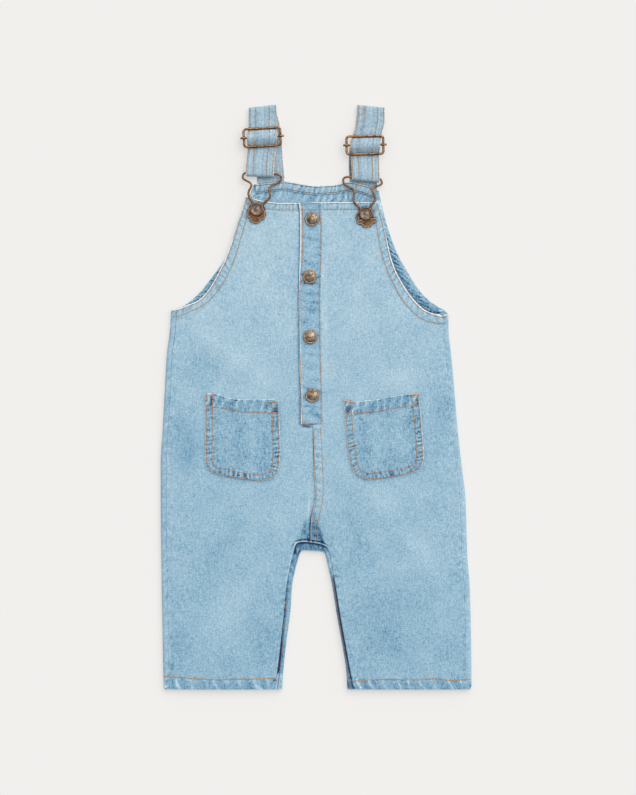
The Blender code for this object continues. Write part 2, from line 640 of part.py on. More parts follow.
def upward_growth(points):
    """The growth that puts a grid's wall above its points, whichever way its normals point."""
    along = points[0, 1] - points[0, 0]
    up_rows = points[1, 0] - points[0, 0]
    return 1.0 if np.cross(along, up_rows)[2] > 0.0 else -1.0


def facings(collection):
    """Turned-in facings along the back's neck and armhole edges, on the inside of the back."""
    level = DENIM + GAP
    for side in ("left", "right"):
        armhole = np.array(BACK_ARMHOLE[side])
        length = lengths_along(armhole)[-1]
        places = np.linspace(2.0, length - FACING_DEPTH - 4.0, FACING_ROWS["armhole"] + 1)
        path = read_path(armhole, places)
        if side == "right":
            path = path[::-1]
        points = strip_beside(path, 0.5, FACING_DEPTH, level)
        add_sheet("armhole_facing_" + side, points, FACING, collection, INSIDE_FINISH, upward_growth(points))
    x = np.linspace(BACK_TOP[0][0] + 1.4, BACK_TOP[-1][0] - 1.0, FACING_ROWS["top"] + 1)
    path = np.column_stack((x, height_of(BACK_TOP, x)))
    points = strip_beside(path, 0.5, FACING_DEPTH, level)
    add_sheet("back_top_facing", points, FACING, collection, INSIDE_FINISH, upward_growth(points))


# ---------------------------------------------------------------- straps

def arc_of(centre_y, centre_z, radius, start, end, steps):
    """Points on an arc in the strap's side view, angles from +Y towards +Z in degrees."""
    angles = np.radians(np.linspace(start, end, steps))
    return [(centre_y + radius * math.cos(angle), centre_z + radius * math.sin(angle)) for angle in angles]


def strap_path(side):
    """Stations of the strap's middle line, from the back's top edge to its sewn end: x, y, z, tilt."""
    places = STRAP[side]
    back_x, back_y = np.array(places["back"]).T
    fold_x, fold_y, fold_tilt = places["fold"]
    buckle_x, buckle_y, buckle_tilt = places["buckle"]
    loop_x, loop_y, loop_tilt = places["loop"]
    fold_centre = fold_y - STRAP_WALL / 2.0 - FOLD_RADIUS
    stations = [(x, y, BACK_STRAND, 0.0) for x, y in zip(back_x[:-1], back_y[:-1])]
    for y, z in arc_of(fold_centre, BACK_STRAND + FOLD_RADIUS, FOLD_RADIUS, -90.0, 90.0, 7):
        stations.append((fold_x, y, z, fold_tilt))
    front_top_y = fold_centre - 9.0
    stations.append((fold_x, front_top_y, BACK_STRAND + 2.0 * FOLD_RADIUS + 0.4, fold_tilt))

    middle = (UNDER_BAR + OVER_BAR) / 2.0
    weave = [(10.2, UNDER_BAR), (8.0, UNDER_BAR), (6.6, UNDER_BAR + 0.55), (4.7, middle), (2.6, OVER_BAR - 0.6),
             (1.2, OVER_BAR), (-1.2, OVER_BAR), (-2.6, OVER_BAR - 0.6), (-4.7, middle), (-6.6, UNDER_BAR + 0.55),
             (-8.0, UNDER_BAR), (-10.2, UNDER_BAR)]
    loop_centre = loop_y + STRAP_WALL / 2.0 + LOOP_RADIUS
    for offset, z in weave:
        share = np.clip((buckle_y + offset - fold_centre) / (loop_centre - fold_centre), 0.0, 1.0)
        x = np.interp(share, (0.0, (buckle_y - fold_centre) / (loop_centre - fold_centre), 1.0),
                      (fold_x, buckle_x, loop_x))
        stations.append((float(x), buckle_y + offset, z, buckle_tilt))
    stations.append((loop_x, loop_centre + 5.0, LOOP_LEVEL + LOOP_RADIUS - 0.1, loop_tilt))
    for y, z in arc_of(loop_centre, LOOP_LEVEL, LOOP_RADIUS, 90.0, 270.0, 9):
        stations.append((loop_x, y, z, loop_tilt))
    stations.append((buckle_x, buckle_y - 10.0, RETURN_STRAND, buckle_tilt))
    stations.append((buckle_x, buckle_y - 5.0, RETURN_STRAND + 0.5, buckle_tilt))
    stations.append((buckle_x, buckle_y - 0.6, BUCKLE_LEVEL - SLIDE_WIRE / 2 - GAP - STRAP_WALL / 2, buckle_tilt))
    return np.array(stations)


def strap(side, collection):
    """One strap: back strand, fold, front strand woven through the buckle, loop and return strand."""
    stations = strap_path(side)
    across = np.linspace(-0.5, 0.5, 4) * STRAP_WIDTH
    x = stations[:, :1] + across[None, :] * np.cos(np.radians(stations[:, 3:]))
    y = stations[:, 1:2] + across[None, :] * np.sin(np.radians(stations[:, 3:]))
    z = np.repeat(stations[:, 2:3], len(across), axis=1)
    y[0] = height_of(BACK_TOP, x[0]) + 1.5 * GAP
    return add_sheet("strap_" + side, np.dstack((x, y, z)), STRAP_WALL, collection, DENIM_FINISH, grow=0.0)


# ---------------------------------------------------------------- hardware

def add_stand(name, x, y, z, turn, collection):
    """An empty that carries the hardware of one place, turned about Z."""
    stand = bpy.data.objects.new(name, None)
    collection.objects.link(stand)
    stand.empty_display_size = 0.01
    stand.location = (x * MM, y * MM, z * MM)
    stand.rotation_euler = (0.0, 0.0, math.radians(turn))
    return stand


def buckle(side, collection):
    """Rectangular wire frame with its slide bar across the middle."""
    x, y, turn = STRAP[side]["buckle"]
    stand = add_stand("buckle_stand_" + side, x, y, BUCKLE_LEVEL, turn, collection)
    half_x = (BUCKLE_SIZE[0] - BUCKLE_WIRE) / 2.0
    half_y = (BUCKLE_SIZE[1] - BUCKLE_WIRE) / 2.0
    corner = 2.6
    outline = []
    for quarter, (across, up) in enumerate(((1, 1), (-1, 1), (-1, -1), (1, -1))):
        for angle in np.radians(np.linspace(0.0, 90.0, 5) + 90.0 * quarter):
            outline.append((across * (half_x - corner) + corner * math.cos(angle),
                            up * (half_y - corner) + corner * math.sin(angle), 0.0))
    add_wire("buckle_frame_" + side, outline, BUCKLE_WIRE, collection, BRASS_FINISH, closed=True, parent=stand)

    over = BUCKLE_WIRE / 2.0 + SLIDE_WIRE / 2.0 + GAP + 0.15
    rise = [(12.9, 0.0), (14.3, 1.0), (half_x - 0.8, over - 0.1), (half_x + 0.7, over), (half_x + 2.6, over - 0.9)]
    bar = [(-across, 0.0, up) for across, up in reversed(rise)] + [(across, 0.0, up) for across, up in rise]
    add_wire("slide_bar_" + side, bar, SLIDE_WIRE, collection, BRASS_FINISH, parent=stand)


def mirrored(half):
    """A whole outline from its right half, starting on the axis."""
    half = np.asarray(half)
    left = half[::-1].copy()
    left[:, 0] = -left[:, 0]
    return half, left


def wire_clip(side, collection):
    """Wire clip, its scalloped plate and the bib button that it hooks on."""
    x, y, turn = STRAP[side]["button"]
    bib_z = float(front_level(np.array(x), np.array(y))) + HEM_RAISE
    stand = add_stand("clip_stand_" + side, x, y, bib_z, turn, collection)
    half = np.array(CLIP_WIRE_PATH)
    half = read_path(half, np.linspace(0.0, lengths_along(half)[-1], 26))
    right, left = mirrored(half)
    path = np.vstack((left[:-1], right))
    skew = math.tan(math.radians(STRAP[side]["bar"] - turn))
    path[:, 1] = path[:, 1] + skew * path[:, 0] * ease((path[:, 1] - 20.0) / 8.0)
    on_bib = CLIP_LIFT + CLIP_WIRE / 2.0
    drop = ease((path[:, 1] - 15.5) / 13.0)
    heights = on_bib + drop * (LOOP_LEVEL - bib_z - on_bib)
    points = np.column_stack((path, heights))
    add_wire("wire_clip_" + side, points, CLIP_WIRE, collection, BRASS_FINISH, parent=stand)

    half = np.array(CLIP_PLATE_PATH)
    half = read_path(half, np.linspace(0.0, lengths_along(half)[-1], 18))
    right, left = mirrored(half)
    outline = np.vstack((right, left[1:-1]))
    plate = add_plate("clip_plate_" + side, outline, CLIP_PLATE, collection, BRASS_FINISH, stand)
    plate.location = (0.0, 0.0, (GAP + CLIP_PLATE / 2.0) * MM)

    cap = CLIP_LIFT + CLIP_WIRE + GAP
    profile = [(0.0, cap + 1.9), (4.3, cap + 1.9), (4.8, cap + 2.3), (5.4, cap + 2.4), (BUTTON_RADIUS, cap + 1.8),
               (BUTTON_RADIUS, cap + 0.9), (5.2, cap + 0.2), (SHANK_RADIUS, cap), (SHANK_RADIUS, GAP), (0.0, GAP)]
    add_turned("bib_button_" + side, profile, 24, collection, BRASS_FINISH, parent=stand)


def snaps(collection):
    """Domed snap caps down the placket."""
    profile = [(0.0, 2.1), (2.4, 2.0), (4.4, 1.6), (5.5, 1.2), (6.0, 1.0), (SNAP_RADIUS, 0.5), (6.0, 0.0), (0.0, 0.0)]
    for number, (x, y) in enumerate(SNAPS, start=1):
        cap = add_turned("snap_%d" % number, profile, 20, collection, BRASS_FINISH)
        level = float(front_level(np.array(x), np.array(y))) + GAP + DOUBLED + GAP + 0.1
        cap.location = (x * MM, y * MM, level * MM)


def main():
    for item in list(bpy.data.objects):
        bpy.data.objects.remove(item, do_unlink=True)
    collection = bpy.data.collections.new("kids_dungarees")
    bpy.context.scene.collection.children.link(collection)
    panels(collection)
    placket(collection)
    facings(collection)
    snaps(collection)
    for side in ("left", "right"):
        pocket(side, collection)
        strap(side, collection)
        buckle(side, collection)
        wire_clip(side, collection)


main()
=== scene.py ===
"""Kids denim dungarees laid flat on their back: the finished cloth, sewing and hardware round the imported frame.

The frame is +Z up and +Y towards the shoulders. Tables are in millimetres and become metres when a mesh is made.
Left and right are as seen from the front of the garment.
"""

import math

import bmesh
import bpy
import numpy as np
from bpy.props import FloatProperty, FloatVectorProperty, PointerProperty
from bpy.types import Operator, Panel, PropertyGroup
from mathutils import Matrix, Vector


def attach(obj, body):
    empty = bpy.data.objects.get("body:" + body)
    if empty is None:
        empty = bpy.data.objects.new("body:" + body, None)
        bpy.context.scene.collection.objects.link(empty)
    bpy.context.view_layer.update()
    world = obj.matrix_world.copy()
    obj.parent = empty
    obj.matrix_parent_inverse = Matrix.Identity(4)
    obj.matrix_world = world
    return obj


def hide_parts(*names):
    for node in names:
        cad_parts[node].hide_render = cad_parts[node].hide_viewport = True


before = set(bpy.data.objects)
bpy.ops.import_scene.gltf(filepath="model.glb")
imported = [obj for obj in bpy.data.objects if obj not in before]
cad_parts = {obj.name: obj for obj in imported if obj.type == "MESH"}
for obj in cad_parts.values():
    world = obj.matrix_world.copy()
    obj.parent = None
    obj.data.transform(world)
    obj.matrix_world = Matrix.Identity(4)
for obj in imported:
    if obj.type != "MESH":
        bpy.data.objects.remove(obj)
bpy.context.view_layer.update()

bl_info = {
    "name": "Kids denim dungarees",
    "version": (1, 0, 0),
    "blender": (4, 5, 0),
    "location": "3D View > Sidebar > Dungarees",
    "description": "Cloth, stitching, hardware and stage of a pair of laid-out denim dungarees",
    "category": "Object",
}

MM = 0.001
SIDES = ("left", "right")
SIGN = {"left": -1.0, "right": 1.0}

# ---------------------------------------------------------------- shape of the laid garment, as in the frame

GAP = 0.3
STRAP_WALL = 1.5
STRAP_WIDTH = 25.0
HEM_RAISE = 0.5
ROLL = 2.4
SEAM_LEVEL = 2 * ROLL
BIB_LEVEL_DROP = 0.5
CROWN = 0.8
CROWN_REACH = 30.0
SIDE_SEAM_INSET = 5.2
SEAM_GAP = 0.08
LEG_HEM = 9.0
BIB_HEM = 6.4
ARMHOLE_HEM = 8.8
LAP_WIDTH = 7.4
LAP_TOP = -24.5
HEM_Y = -262.4
CROTCH_ROW_Y = -106.0
BIB_ROW_Y = 60.0
BIB_TOP_Y = 176.0
BACK_TOP_Y = 192.0
TOP_FIT = 22.0
STEEPEST_ROW = 0.35
EDGE_COLUMNS = (0.3, 0.7, 1.3, 2.2)

OUTLINE = {
    "left": [(-136.0, -262.4), (-137.1, -260.8), (-137.4, -258.0), (-138.2, -217.8), (-139.1, -167.4), (-140.0, -91.8), (-140.0, -59.4),
             (-138.2, -27.0), (-136.4, 5.4), (-134.6, 37.8), (-131.9, 59.4), (-130.5, 79.3)],
    "right": [(138.4, -262.4), (139.7, -260.6), (140.0, -257.4), (139.6, -217.8), (138.2, -167.4), (136.4, -145.8), (134.6, -91.8), (131.0, -59.4),
              (127.4, -27.0), (124.7, 5.4), (121.8, 37.8), (119.4, 59.4), (119.1, 75.6)],
}
LEG = {
    "left": [(-30.7, -262.4, -37.4, -262.4), (-29.2, -241.5, -34.3, -241.5), (-26.2, -215.0, -31.3, -215.0),
             (-23.0, -190.0, -28.6, -190.4), (-21.8, -170.0, -26.6, -170.0), (-18.2, -152.0, -23.4, -151.5),
             (-15.4, -142.5, -20.2, -138.6), (-14.0, -139.2, -18.0, -131.4), (-11.6, -137.6, -15.2, -130.0),
             (-8.8, -137.6, -10.0, -129.6), (-5.1, -137.8, -5.1, -130.2)],
    "right": [(28.2, -262.4, 34.0, -262.4), (27.0, -245.0, 30.7, -246.0), (23.9, -224.5, 27.0, -225.2),
              (19.1, -198.0, 22.2, -198.8), (13.8, -165.6, 16.9, -166.4), (10.4, -150.0, 13.8, -149.8),
              (8.8, -142.8, 12.2, -140.4), (7.2, -139.4, 9.4, -134.4), (4.2, -138.4, 5.8, -132.2),
              (-0.6, -138.0, -0.2, -130.8), (-5.1, -137.8, -5.1, -130.2)],
}
FRONT_SEAM = [(-5.1, -130.2), (-5.1, -118.8), (-4.5, -109.8), (-2.9, -101.7), (-1.7, -96.3), (-0.7, -87.3),
              (-1.7, -71.1), (-2.7, -23.4), (-3.6, 20.0), (-4.0, 60.0), (-4.0, 176.0)]
BACK_SEAM_X = -3.6
FRONT_ARMHOLE = {
    "left": [(-124.4, 80.5), (-113.7, 84.5), (-106.0, 88.0), (-100.7, 92.9), (-95.5, 99.6), (-91.2, 106.7),
             (-87.5, 113.7), (-81.9, 125.3), (-77.6, 136.2), (-74.0, 146.9), (-70.9, 156.7), (-67.1, 167.4),
             (-64.8, 175.0), (-63.5, 181.4)],
    "right": [(113.8, 74.2), (105.6, 76.0), (97.0, 79.8), (90.2, 86.0), (83.4, 94.2), (77.4, 103.5),
              (72.5, 112.7), (68.6, 122.8), (66.2, 131.1), (63.8, 142.1), (61.6, 152.9), (58.2, 166.2),
              (55.7, 176.2)],
}
BACK_ARMHOLE = {
    "left": [(-119.1, 83.2), (-113.7, 86.8), (-108.2, 91.6), (-102.7, 97.1), (-97.3, 104.1), (-91.8, 111.2),
             (-83.1, 123.8), (-76.0, 138.0), (-69.5, 154.0), (-62.5, 172.0), (-58.6, 186.0), (-55.4, 192.6)],
    "right": [(116.4, 78.2), (110.6, 81.8), (102.2, 87.4), (94.0, 95.6), (86.5, 106.4), (79.8, 118.0),
              (74.0, 128.0), (69.8, 138.0), (65.7, 149.6), (62.4, 160.5), (59.0, 174.6), (56.2, 186.7)],
}
BIB_TOP = [(-63.5, 181.4), (-56.0, 179.4), (-46.0, 177.0), (-31.0, 175.5), (-15.8, 175.5), (0.0, 176.2),
           (55.7, 176.2)]
BACK_TOP = [(-55.4, 192.3), (-42.8, 193.7), (-28.4, 195.1), (-14.0, 192.8), (0.5, 191.1), (16.7, 191.9),
            (30.2, 194.6), (41.9, 192.4), (56.3, 186.8)]
PLACKET = [(-23.6, -13.9, 5.9), (0.0, -13.8, 5.6), (27.0, -15.0, 5.0), (56.0, -15.3, 4.4), (88.0, -15.7, 4.0),
           (110.0, -15.3, 4.2), (150.0, -14.5, 5.4), (165.0, -14.6, 5.0), (175.6, -15.8, 4.3)]
SNAPS = [(-3.8, 160.8), (-5.7, 109.0), (-5.3, 54.9), (-3.4, 2.4)]
POCKET = {
    "left": [(-88.0, -69.2, -50.0, -74.9), (-94.0, -66.8, -41.0, -73.2), (-98.2, -63.0, -35.6, -69.2),
             (-99.8, -54.0, -32.9, -60.0), (-99.9, -42.3, -32.2, -43.2), (-99.3, -21.6, -32.9, -24.3),
             (-99.6, 4.5, -33.6, -3.4)],
    "right": [(47.0, -73.8, 83.0, -68.4), (39.2, -71.2, 91.0, -65.4), (33.2, -65.8, 95.2, -61.2),
              (30.0, -56.0, 96.8, -52.0), (27.2, -34.2, 95.9, -34.2), (25.5, -12.2, 93.9, -10.8),
              (24.8, -1.8, 92.1, 3.9)],
}
POCKET_TOP = {
    "left": [(-99.6, 4.5), (-89.6, 3.9), (-81.9, 1.1), (-70.7, -0.9), (-54.8, -1.4), (-39.6, -1.2), (-33.6, -3.4)],
    "right": [(24.8, -1.8), (34.6, -3.6), (43.0, -2.4), (52.9, -1.6), (64.9, 1.0), (80.7, 3.1), (92.1, 3.9)],
}

# Folds of the front: x and y of one end, x and y of the other, width, height (a trough is below zero)
FOLDS = [
    (-118.0, 68.0, -30.0, 0.0, 15.0, 0.50),
    (-124.0, 50.0, -74.0, 6.0, 16.0, -0.45),
    (110.0, 46.0, 66.0, 30.0, 13.0, -0.30),
    (26.0, 12.0, 104.0, 18.0, 14.0, 0.30),
    (-20.0, -98.0, -84.0, -176.0, 17.0, 0.50),
    (-66.0, -112.0, -120.0, -178.0, 15.0, -0.45),
    (-40.0, -186.0, -62.0, -244.0, 15.0, -0.35),
    (40.0, -80.0, 124.0, -188.0, 15.0, 0.50),
    (18.0, -96.0, 64.0, -176.0, 14.0, -0.45),
    (62.0, -184.0, 88.0, -246.0, 18.0, -0.30),
    (5.0, 170.0, 15.0, 138.0, 8.0, 0.30),
    (-52.0, 160.0, -36.0, 100.0, 12.0, -0.25),
]

# Smaller creases, which only the finished cloth has: the same columns
CREASES = [
    (-132.0, -222.0, -104.0, -240.0, 7.0, -0.30),
    (-133.0, -208.0, -112.0, -214.0, 5.0, 0.25),
    (132.0, -226.0, 106.0, -240.0, 7.0, -0.30),
    (133.0, -206.0, 112.0, -220.0, 6.0, 0.25),
    (-128.0, -24.0, -104.0, -60.0, 9.0, -0.25),
    (-131.0, -52.0, -106.0, -74.0, 8.0, 0.22),
    (118.0, 62.0, 96.0, 50.0, 6.0, -0.30),
    (122.0, 28.0, 98.0, 20.0, 8.0, 0.20),
    (126.0, -26.0, 102.0, -40.0, 8.0, -0.25),
    (128.0, -48.0, 104.0, -52.0, 8.0, 0.20),
    (9.0, -30.0, 24.0, -92.0, 8.0, 0.25),
    (-12.0, -40.0, -24.0, -98.0, 9.0, 0.22),
    (-100.0, -80.0, -60.0, -92.0, 8.0, 0.22),
    (30.0, -82.0, 78.0, -86.0, 8.0, 0.20),
    (-96.0, -196.0, -104.0, -250.0, 10.0, 0.22),
    (98.0, -206.0, 104.0, -252.0, 10.0, 0.25),
    (40.0, -200.0, 44.0, -250.0, 9.0, -0.25),
    (-116.0, 76.0, -96.0, 66.0, 6.0, 0.25),
    (-22.0, 120.0, -24.0, 40.0, 9.0, -0.18),
    (14.0, 120.0, 12.0, 30.0, 8.0, 0.18),
    (64.0, 92.0, 40.0, 60.0, 10.0, -0.18),
    (-64.0, 96.0, -40.0, 60.0, 10.0, 0.16),
]

# Lighter and darker patches: partly the wash's own, partly painted shade and highlight along the folds, and painted
# shadows beside the lapped seam, the leg bulges and the button strip's foot: x and y of one end, of the other, width,
# tone
TONES = [
    (-118.0, 70.0, -26.0, -2.0, 20.0, 0.20),
    (-124.0, 46.0, -84.0, 10.0, 34.0, -0.26),
    (-122.0, 4.0, -112.0, -78.0, 26.0, -0.46),
    (60.0, 100.0, 70.0, 60.0, 60.0, 0.10),
    (40.0, 16.0, 104.0, 18.0, 20.0, 0.22),
    (114.0, 30.0, 108.0, -66.0, 24.0, -0.32),
    (-60.0, 160.0, -40.0, 80.0, 36.0, 0.16),
    (7.0, 160.0, 8.0, -20.0, 7.0, 0.22),
    (-22.0, -90.0, -40.0, -128.0, 22.0, 0.16),
    (-62.0, -108.0, -120.0, -180.0, 22.0, -0.24),
    (-60.0, -150.0, -96.0, -236.0, 34.0, 0.16),
    (-40.0, -190.0, -46.0, -246.0, 20.0, -0.24),
    (-122.0, -190.0, -126.0, -246.0, 20.0, -0.20),
    (40.0, -78.0, 84.0, -104.0, 20.0, 0.24),
    (78.0, -98.0, 126.0, -190.0, 20.0, 0.22),
    (22.0, -90.0, 56.0, -166.0, 20.0, -0.22),
    (44.0, -170.0, 78.0, -244.0, 44.0, -0.22),
    (104.0, -220.0, 92.0, -246.0, 18.0, 0.16),
    (134.0, -190.0, 136.0, -246.0, 10.0, -0.20),
    (-4.0, -24.0, -30.0, -110.0, 30.0, 0.08),
    # Narrower lines from here on, among them painted shadows under the button strip's foot, beside the right leg's
    # bulge and in the crotch hollow
    (-15.5, -24.8, -2.0, -26.2, 2.6, -1.40),
    (-15.0, -27.6, -1.0, -28.8, 2.6, 0.60),
    (-5.8, -86.0, -8.6, -124.0, 2.2, 0.80),
    (2.2, -112.0, 8.2, -141.0, 2.6, -0.95),
    (-13.5, -131.0, -6.5, -106.0, 5.0, -0.30),
    (-18.6, -130.0, -28.4, -172.0, 2.0, 0.80),
    (-134.0, -212.0, -131.0, -246.0, 3.0, 0.60),
    (-136.0, -226.0, -128.0, -250.0, 6.0, -0.50),
    (136.0, -226.0, 134.0, -248.0, 5.0, -0.40),
]

# Lighter and darker patches on the button strip: the same columns
PLACKET_TONES = [
    (-10.0, -13.5, 3.0, -8.5, 4.0, -0.55),
    (-2.0, -11.0, 3.5, -22.0, 6.0, -0.50),
    (-12.0, 30.0, 2.0, 24.0, 5.0, -0.35),
    (-10.0, 76.0, 2.0, 84.0, 7.0, -0.30),
    (-12.0, 130.0, 2.0, 138.0, 7.0, 0.30),
]

RECESS = [(-140.0, -20.8, 8.2), (-128.3, -16.8, 5.2), (-115.2, -12.1, 2.4), (-99.0, -6.4, -1.5)]
RECESS_DEPTH = 1.3

# Pucker of each sewn border: spacing, lean, depth, width, pale streaks, dark patches, worn edge, tone
PUCKERS = {
    "armhole": (5.4, 0.5, 0.12, 7.0, 0.30, 0.60, 1.0, -0.08),
    "bib": (3.5, 0.1, 0.12, 6.2, 0.30, 0.50, 1.0, -0.10),
    "leg": (10.4, 0.35, 0.26, 9.2, 0.95, 0.42, 0.35, -0.24),
    "lap": (7.5, 0.3, 0.10, 7.0, 0.25, 0.45, 0.8, 0.0),
    "side": (11.0, 0.8, 0.08, 3.0, 0.25, 0.30, 0.0, 0.0),
    "inseam": (9.0, 0.6, 0.10, 4.0, 0.10, 0.50, 0.0, 0.0),
    "pocket": (4.4, 0.2, 0.12, 6.4, 0.60, 0.55, 0.5, -0.10),
    "pocket_hem": (7.6, 0.3, 0.20, 11.6, 1.10, 0.50, 0.45, -0.14),
    "placket": (9.0, 0.2, 0.10, 20.0, 0.10, 0.45, 1.0, 0.0),
    "neck": (4.8, 0.3, 0.20, 7.0, 0.45, 0.60, 0.5, 0.40),
    "neck_inside": (6.6, 0.5, 0.14, 20.0, 0.75, 0.75, 0.0, -0.10),
    "back_armhole": (6.4, -1.8, 0.22, 9.0, 0.90, 0.50, 0.0, -0.20),
    "strap": (7.0, 0.6, 0.06, 6.0, 0.12, 0.30, 0.9, 0.0),
}

STRAP = {
    "left": {"back": [(-40.5, 194.0), (-42.3, 214.0), (-43.2, 227.7), (-45.0, 244.8), (-48.3, 260.5)],
             "fold": (-48.3, 263.1, 6.4), "buckle": (-48.5, 234.5, 3.6), "loop": (-50.6, 198.9, -2.0),
             "button": (-53.3, 169.6, -9.0), "bar": -4.0, "above": -48.4},
    "right": {"back": [(42.6, 194.0), (42.0, 214.0), (43.0, 229.0), (47.4, 243.0), (49.4, 260.5)],
              "fold": (49.4, 263.1, -5.8), "buckle": (43.9, 227.4, 1.2), "loop": (44.7, 194.7, -5.0),
              "button": (44.9, 165.8, 6.3), "bar": -1.5, "above": 46.7},
}
BUCKLE_SIZE = (35.2, 18.2)
BUCKLE_WIRE = 2.1
SLIDE_WIRE = 2.0
CLIP_WIRE = 1.9
CLIP_LIFT = 0.6
BUTTON_RADIUS = 6.0
SNAP_RADIUS = 6.25
BUCKLE_LEVEL = 6.45
FOLD_RADIUS = 1.25
BACK_STRAND = STRAP_WALL / 2
RETURN_STRAND = BACK_STRAND + STRAP_WALL + GAP
UNDER_BAR = BUCKLE_LEVEL - BUCKLE_WIRE / 2 - GAP - STRAP_WALL / 2
OVER_BAR = BUCKLE_LEVEL + SLIDE_WIRE / 2 + GAP + STRAP_WALL / 2
LOOP_RADIUS = CLIP_WIRE / 2 + GAP + STRAP_WALL / 2
LOOP_LEVEL = RETURN_STRAND + LOOP_RADIUS

CLIP_WIRE_PATH = [(0.0, 33.1), (12.6, 33.1), (15.3, 32.4), (17.0, 30.6), (17.2, 28.4), (15.8, 26.4),
                  (12.6, 24.6), (9.6, 22.9), (8.2, 20.8), (8.6, 18.2), (9.6, 15.6), (9.8, 13.0), (8.8, 10.6),
                  (6.8, 8.2), (5.2, 6.3), (4.4, 4.4), (4.9, 2.6), (6.4, 1.3), (7.8, 0.0), (8.7, -1.8),
                  (8.9, -3.6)]
CLIP_FOOT = [(5.2, 6.3), (4.4, 4.4), (3.9, 2.2), (3.6, 0.0)]
CLIP_PLATES = {
    "left": [(0.0, 3.0), (4.0, 2.4), (6.6, 0.6), (7.8, -1.6), (8.1, -4.0), (8.0, -6.2), (7.6, -7.6), (6.2, -8.1),
             (5.2, -8.4), (4.7, -9.4), (3.8, -11.0), (2.1, -12.0), (0.0, -12.2)],
    "right": [(0.0, -3.6), (3.4, -4.2), (5.8, -4.9), (7.6, -4.6), (8.7, -5.8), (8.6, -7.6), (7.2, -8.7), (5.6, -8.7),
              (4.6, -9.6), (3.6, -11.0), (1.9, -11.9), (0.0, -12.1)],
}

# Rows of topstitching on the front: x, y
LEG_HEM_ROW = {
    "left": [(-137.0, -250.5), (-120.0, -251.6), (-90.4, -253.4), (-62.0, -252.9), (-37.6, -252.2)],
    "right": [(34.4, -254.6), (64.3, -253.0), (89.6, -253.8), (105.8, -252.5), (122.8, -254.2), (139.6, -252.8)],
}
SEAM_ROWS = [
    [(-1.8, -26.4), (-1.8, -46.0), (-0.8, -71.1), (0.1, -85.5), (-0.8, -96.3), (-2.0, -101.7), (-3.6, -109.8),
     (-4.2, -118.8), (-4.3, -128.6)],
    [(3.7, -26.4), (4.9, -44.0), (5.7, -60.3), (6.4, -82.0), (5.7, -93.6), (4.1, -100.8), (2.4, -108.0),
     (1.3, -115.0), (0.8, -129.4)],
]
PLACKET_ROWS = [
    [(-12.4, -22.2), (-12.8, -10.0), (-13.3, 0.0), (-14.0, 27.0), (-14.8, 45.0), (-14.8, 92.0), (-14.0, 108.0),
     (-12.6, 124.0), (-12.0, 150.0), (-12.4, 175.0)],
    [(4.5, -22.6), (4.6, 0.0), (3.5, 40.0), (3.0, 78.0), (2.9, 90.0), (3.2, 110.0), (4.4, 124.0), (4.4, 156.0),
     (3.4, 165.0), (2.9, 175.0)],
]
PLACKET_FOOT = [(-13.0, -23.0), (-6.0, -22.8), (4.8, -23.0)]

ARMHOLE_ROWS = {
    "left": [(0.0, 1.4, 6.8), (0.16, 1.5, 6.2), (0.3, 1.5, 7.2), (0.45, 1.5, 8.2), (0.6, 1.5, 7.6), (0.8, 1.3, 6.6),
             (1.0, 1.0, 6.6)],
    "right": [(0.0, 1.3, 6.6), (0.08, 1.3, 7.6), (0.18, 1.3, 8.2), (0.33, 1.3, 8.0), (0.47, 1.3, 6.9), (0.7, 1.2, 7.1),
              (0.85, 1.1, 6.6), (1.0, 1.0, 6.6)],
}
BIB_ROWS = (1.1, 6.5)
POCKET_ROWS = (1.1, 6.3)
POCKET_HEM_ROW = {
    "left": [(-98.6, -7.4), (-92.7, -8.1), (-83.2, -9.0), (-70.7, -11.7), (-58.0, -13.0), (-45.4, -12.9), (-34.4, -13.3)],
    "right": [(26.4, -13.0), (36.5, -13.3), (47.9, -12.9), (58.0, -11.2), (65.5, -9.7), (77.6, -8.1), (92.2, -5.9)],
}
STRAP_ROWS = (-11.7, -6.15, 6.15, 11.7)
NECK_ROWS = (1.1, 6.6)

FACING_DEPTH = 8.0
FACING_LEVEL = 2.5
POCKET_HEM = 12.0
POCKET_BORDER = 7.2
STRIP_DIP = 0.8
SIDE_DIP = 0.0

# The strip of the back beside the inner leg's seam: y, openness of its slot, and the painted shade of the strip
INNER_STRIP = {
    "left": [(-262.4, 0.0, -0.30), (-250.0, 0.2, 0.10), (-245.0, 1.0, 0.70), (-229.0, 1.0, 0.80), (-215.0, 0.6, 0.55),
             (-185.0, 0.5, 0.40), (-168.0, 0.4, 0.50), (-160.0, 0.0, 0.60), (-148.0, 0.0, 0.80), (-141.0, 0.0, 0.88),
             (-137.0, 0.0, 0.52), (-130.0, 0.2, 0.50)],
    "right": [(-262.4, 0.4, 0.20), (-256.0, 0.8, 0.50), (-225.0, 0.9, 0.75), (-190.0, 1.0, 0.80), (-166.0, 0.7, 0.60),
              (-154.0, 0.0, 0.0), (-148.0, 0.0, 0.0), (-142.0, 0.1, 0.15), (-137.0, 0.2, 0.50), (-130.0, 0.3, 0.50)],
}

# Bartacks: x and y of each end
BARTACKS = [
    (-99.4, 2.4, -91.4, 2.4), (-42.6, -3.8, -35.2, -3.6), (25.0, -2.4, 34.4, -3.9), (84.2, 2.6, 92.2, 3.4),
    (-12.8, -22.8, -6.4, -23.2), (5.9, -19.2, 5.9, -21.6), (-63.0, 175.9, -60.9, 175.0),
]
NECK_BARTACKS = [(35.4, 192.4, 42.2, 191.2), (48.0, 189.9, 49.6, 189.4)]


# ---------------------------------------------------------------- curves and spacing

def ease(value):
    """A smooth step: 0 below 0, 1 above 1, level at both ends."""
    value = np.clip(value, 0.0, 1.0)
    return value * value * (3.0 - 2.0 * value)


def bell(value):
    """1 at zero, falling away on both sides."""
    return np.exp(-value * value)


def rounded(distance, radius):
    """How far a folded edge of that radius lies below its cloth, at a distance in from the edge."""
    inside = np.clip(radius - distance, 0.0, radius)
    return radius - np.sqrt(radius * radius - inside * inside)


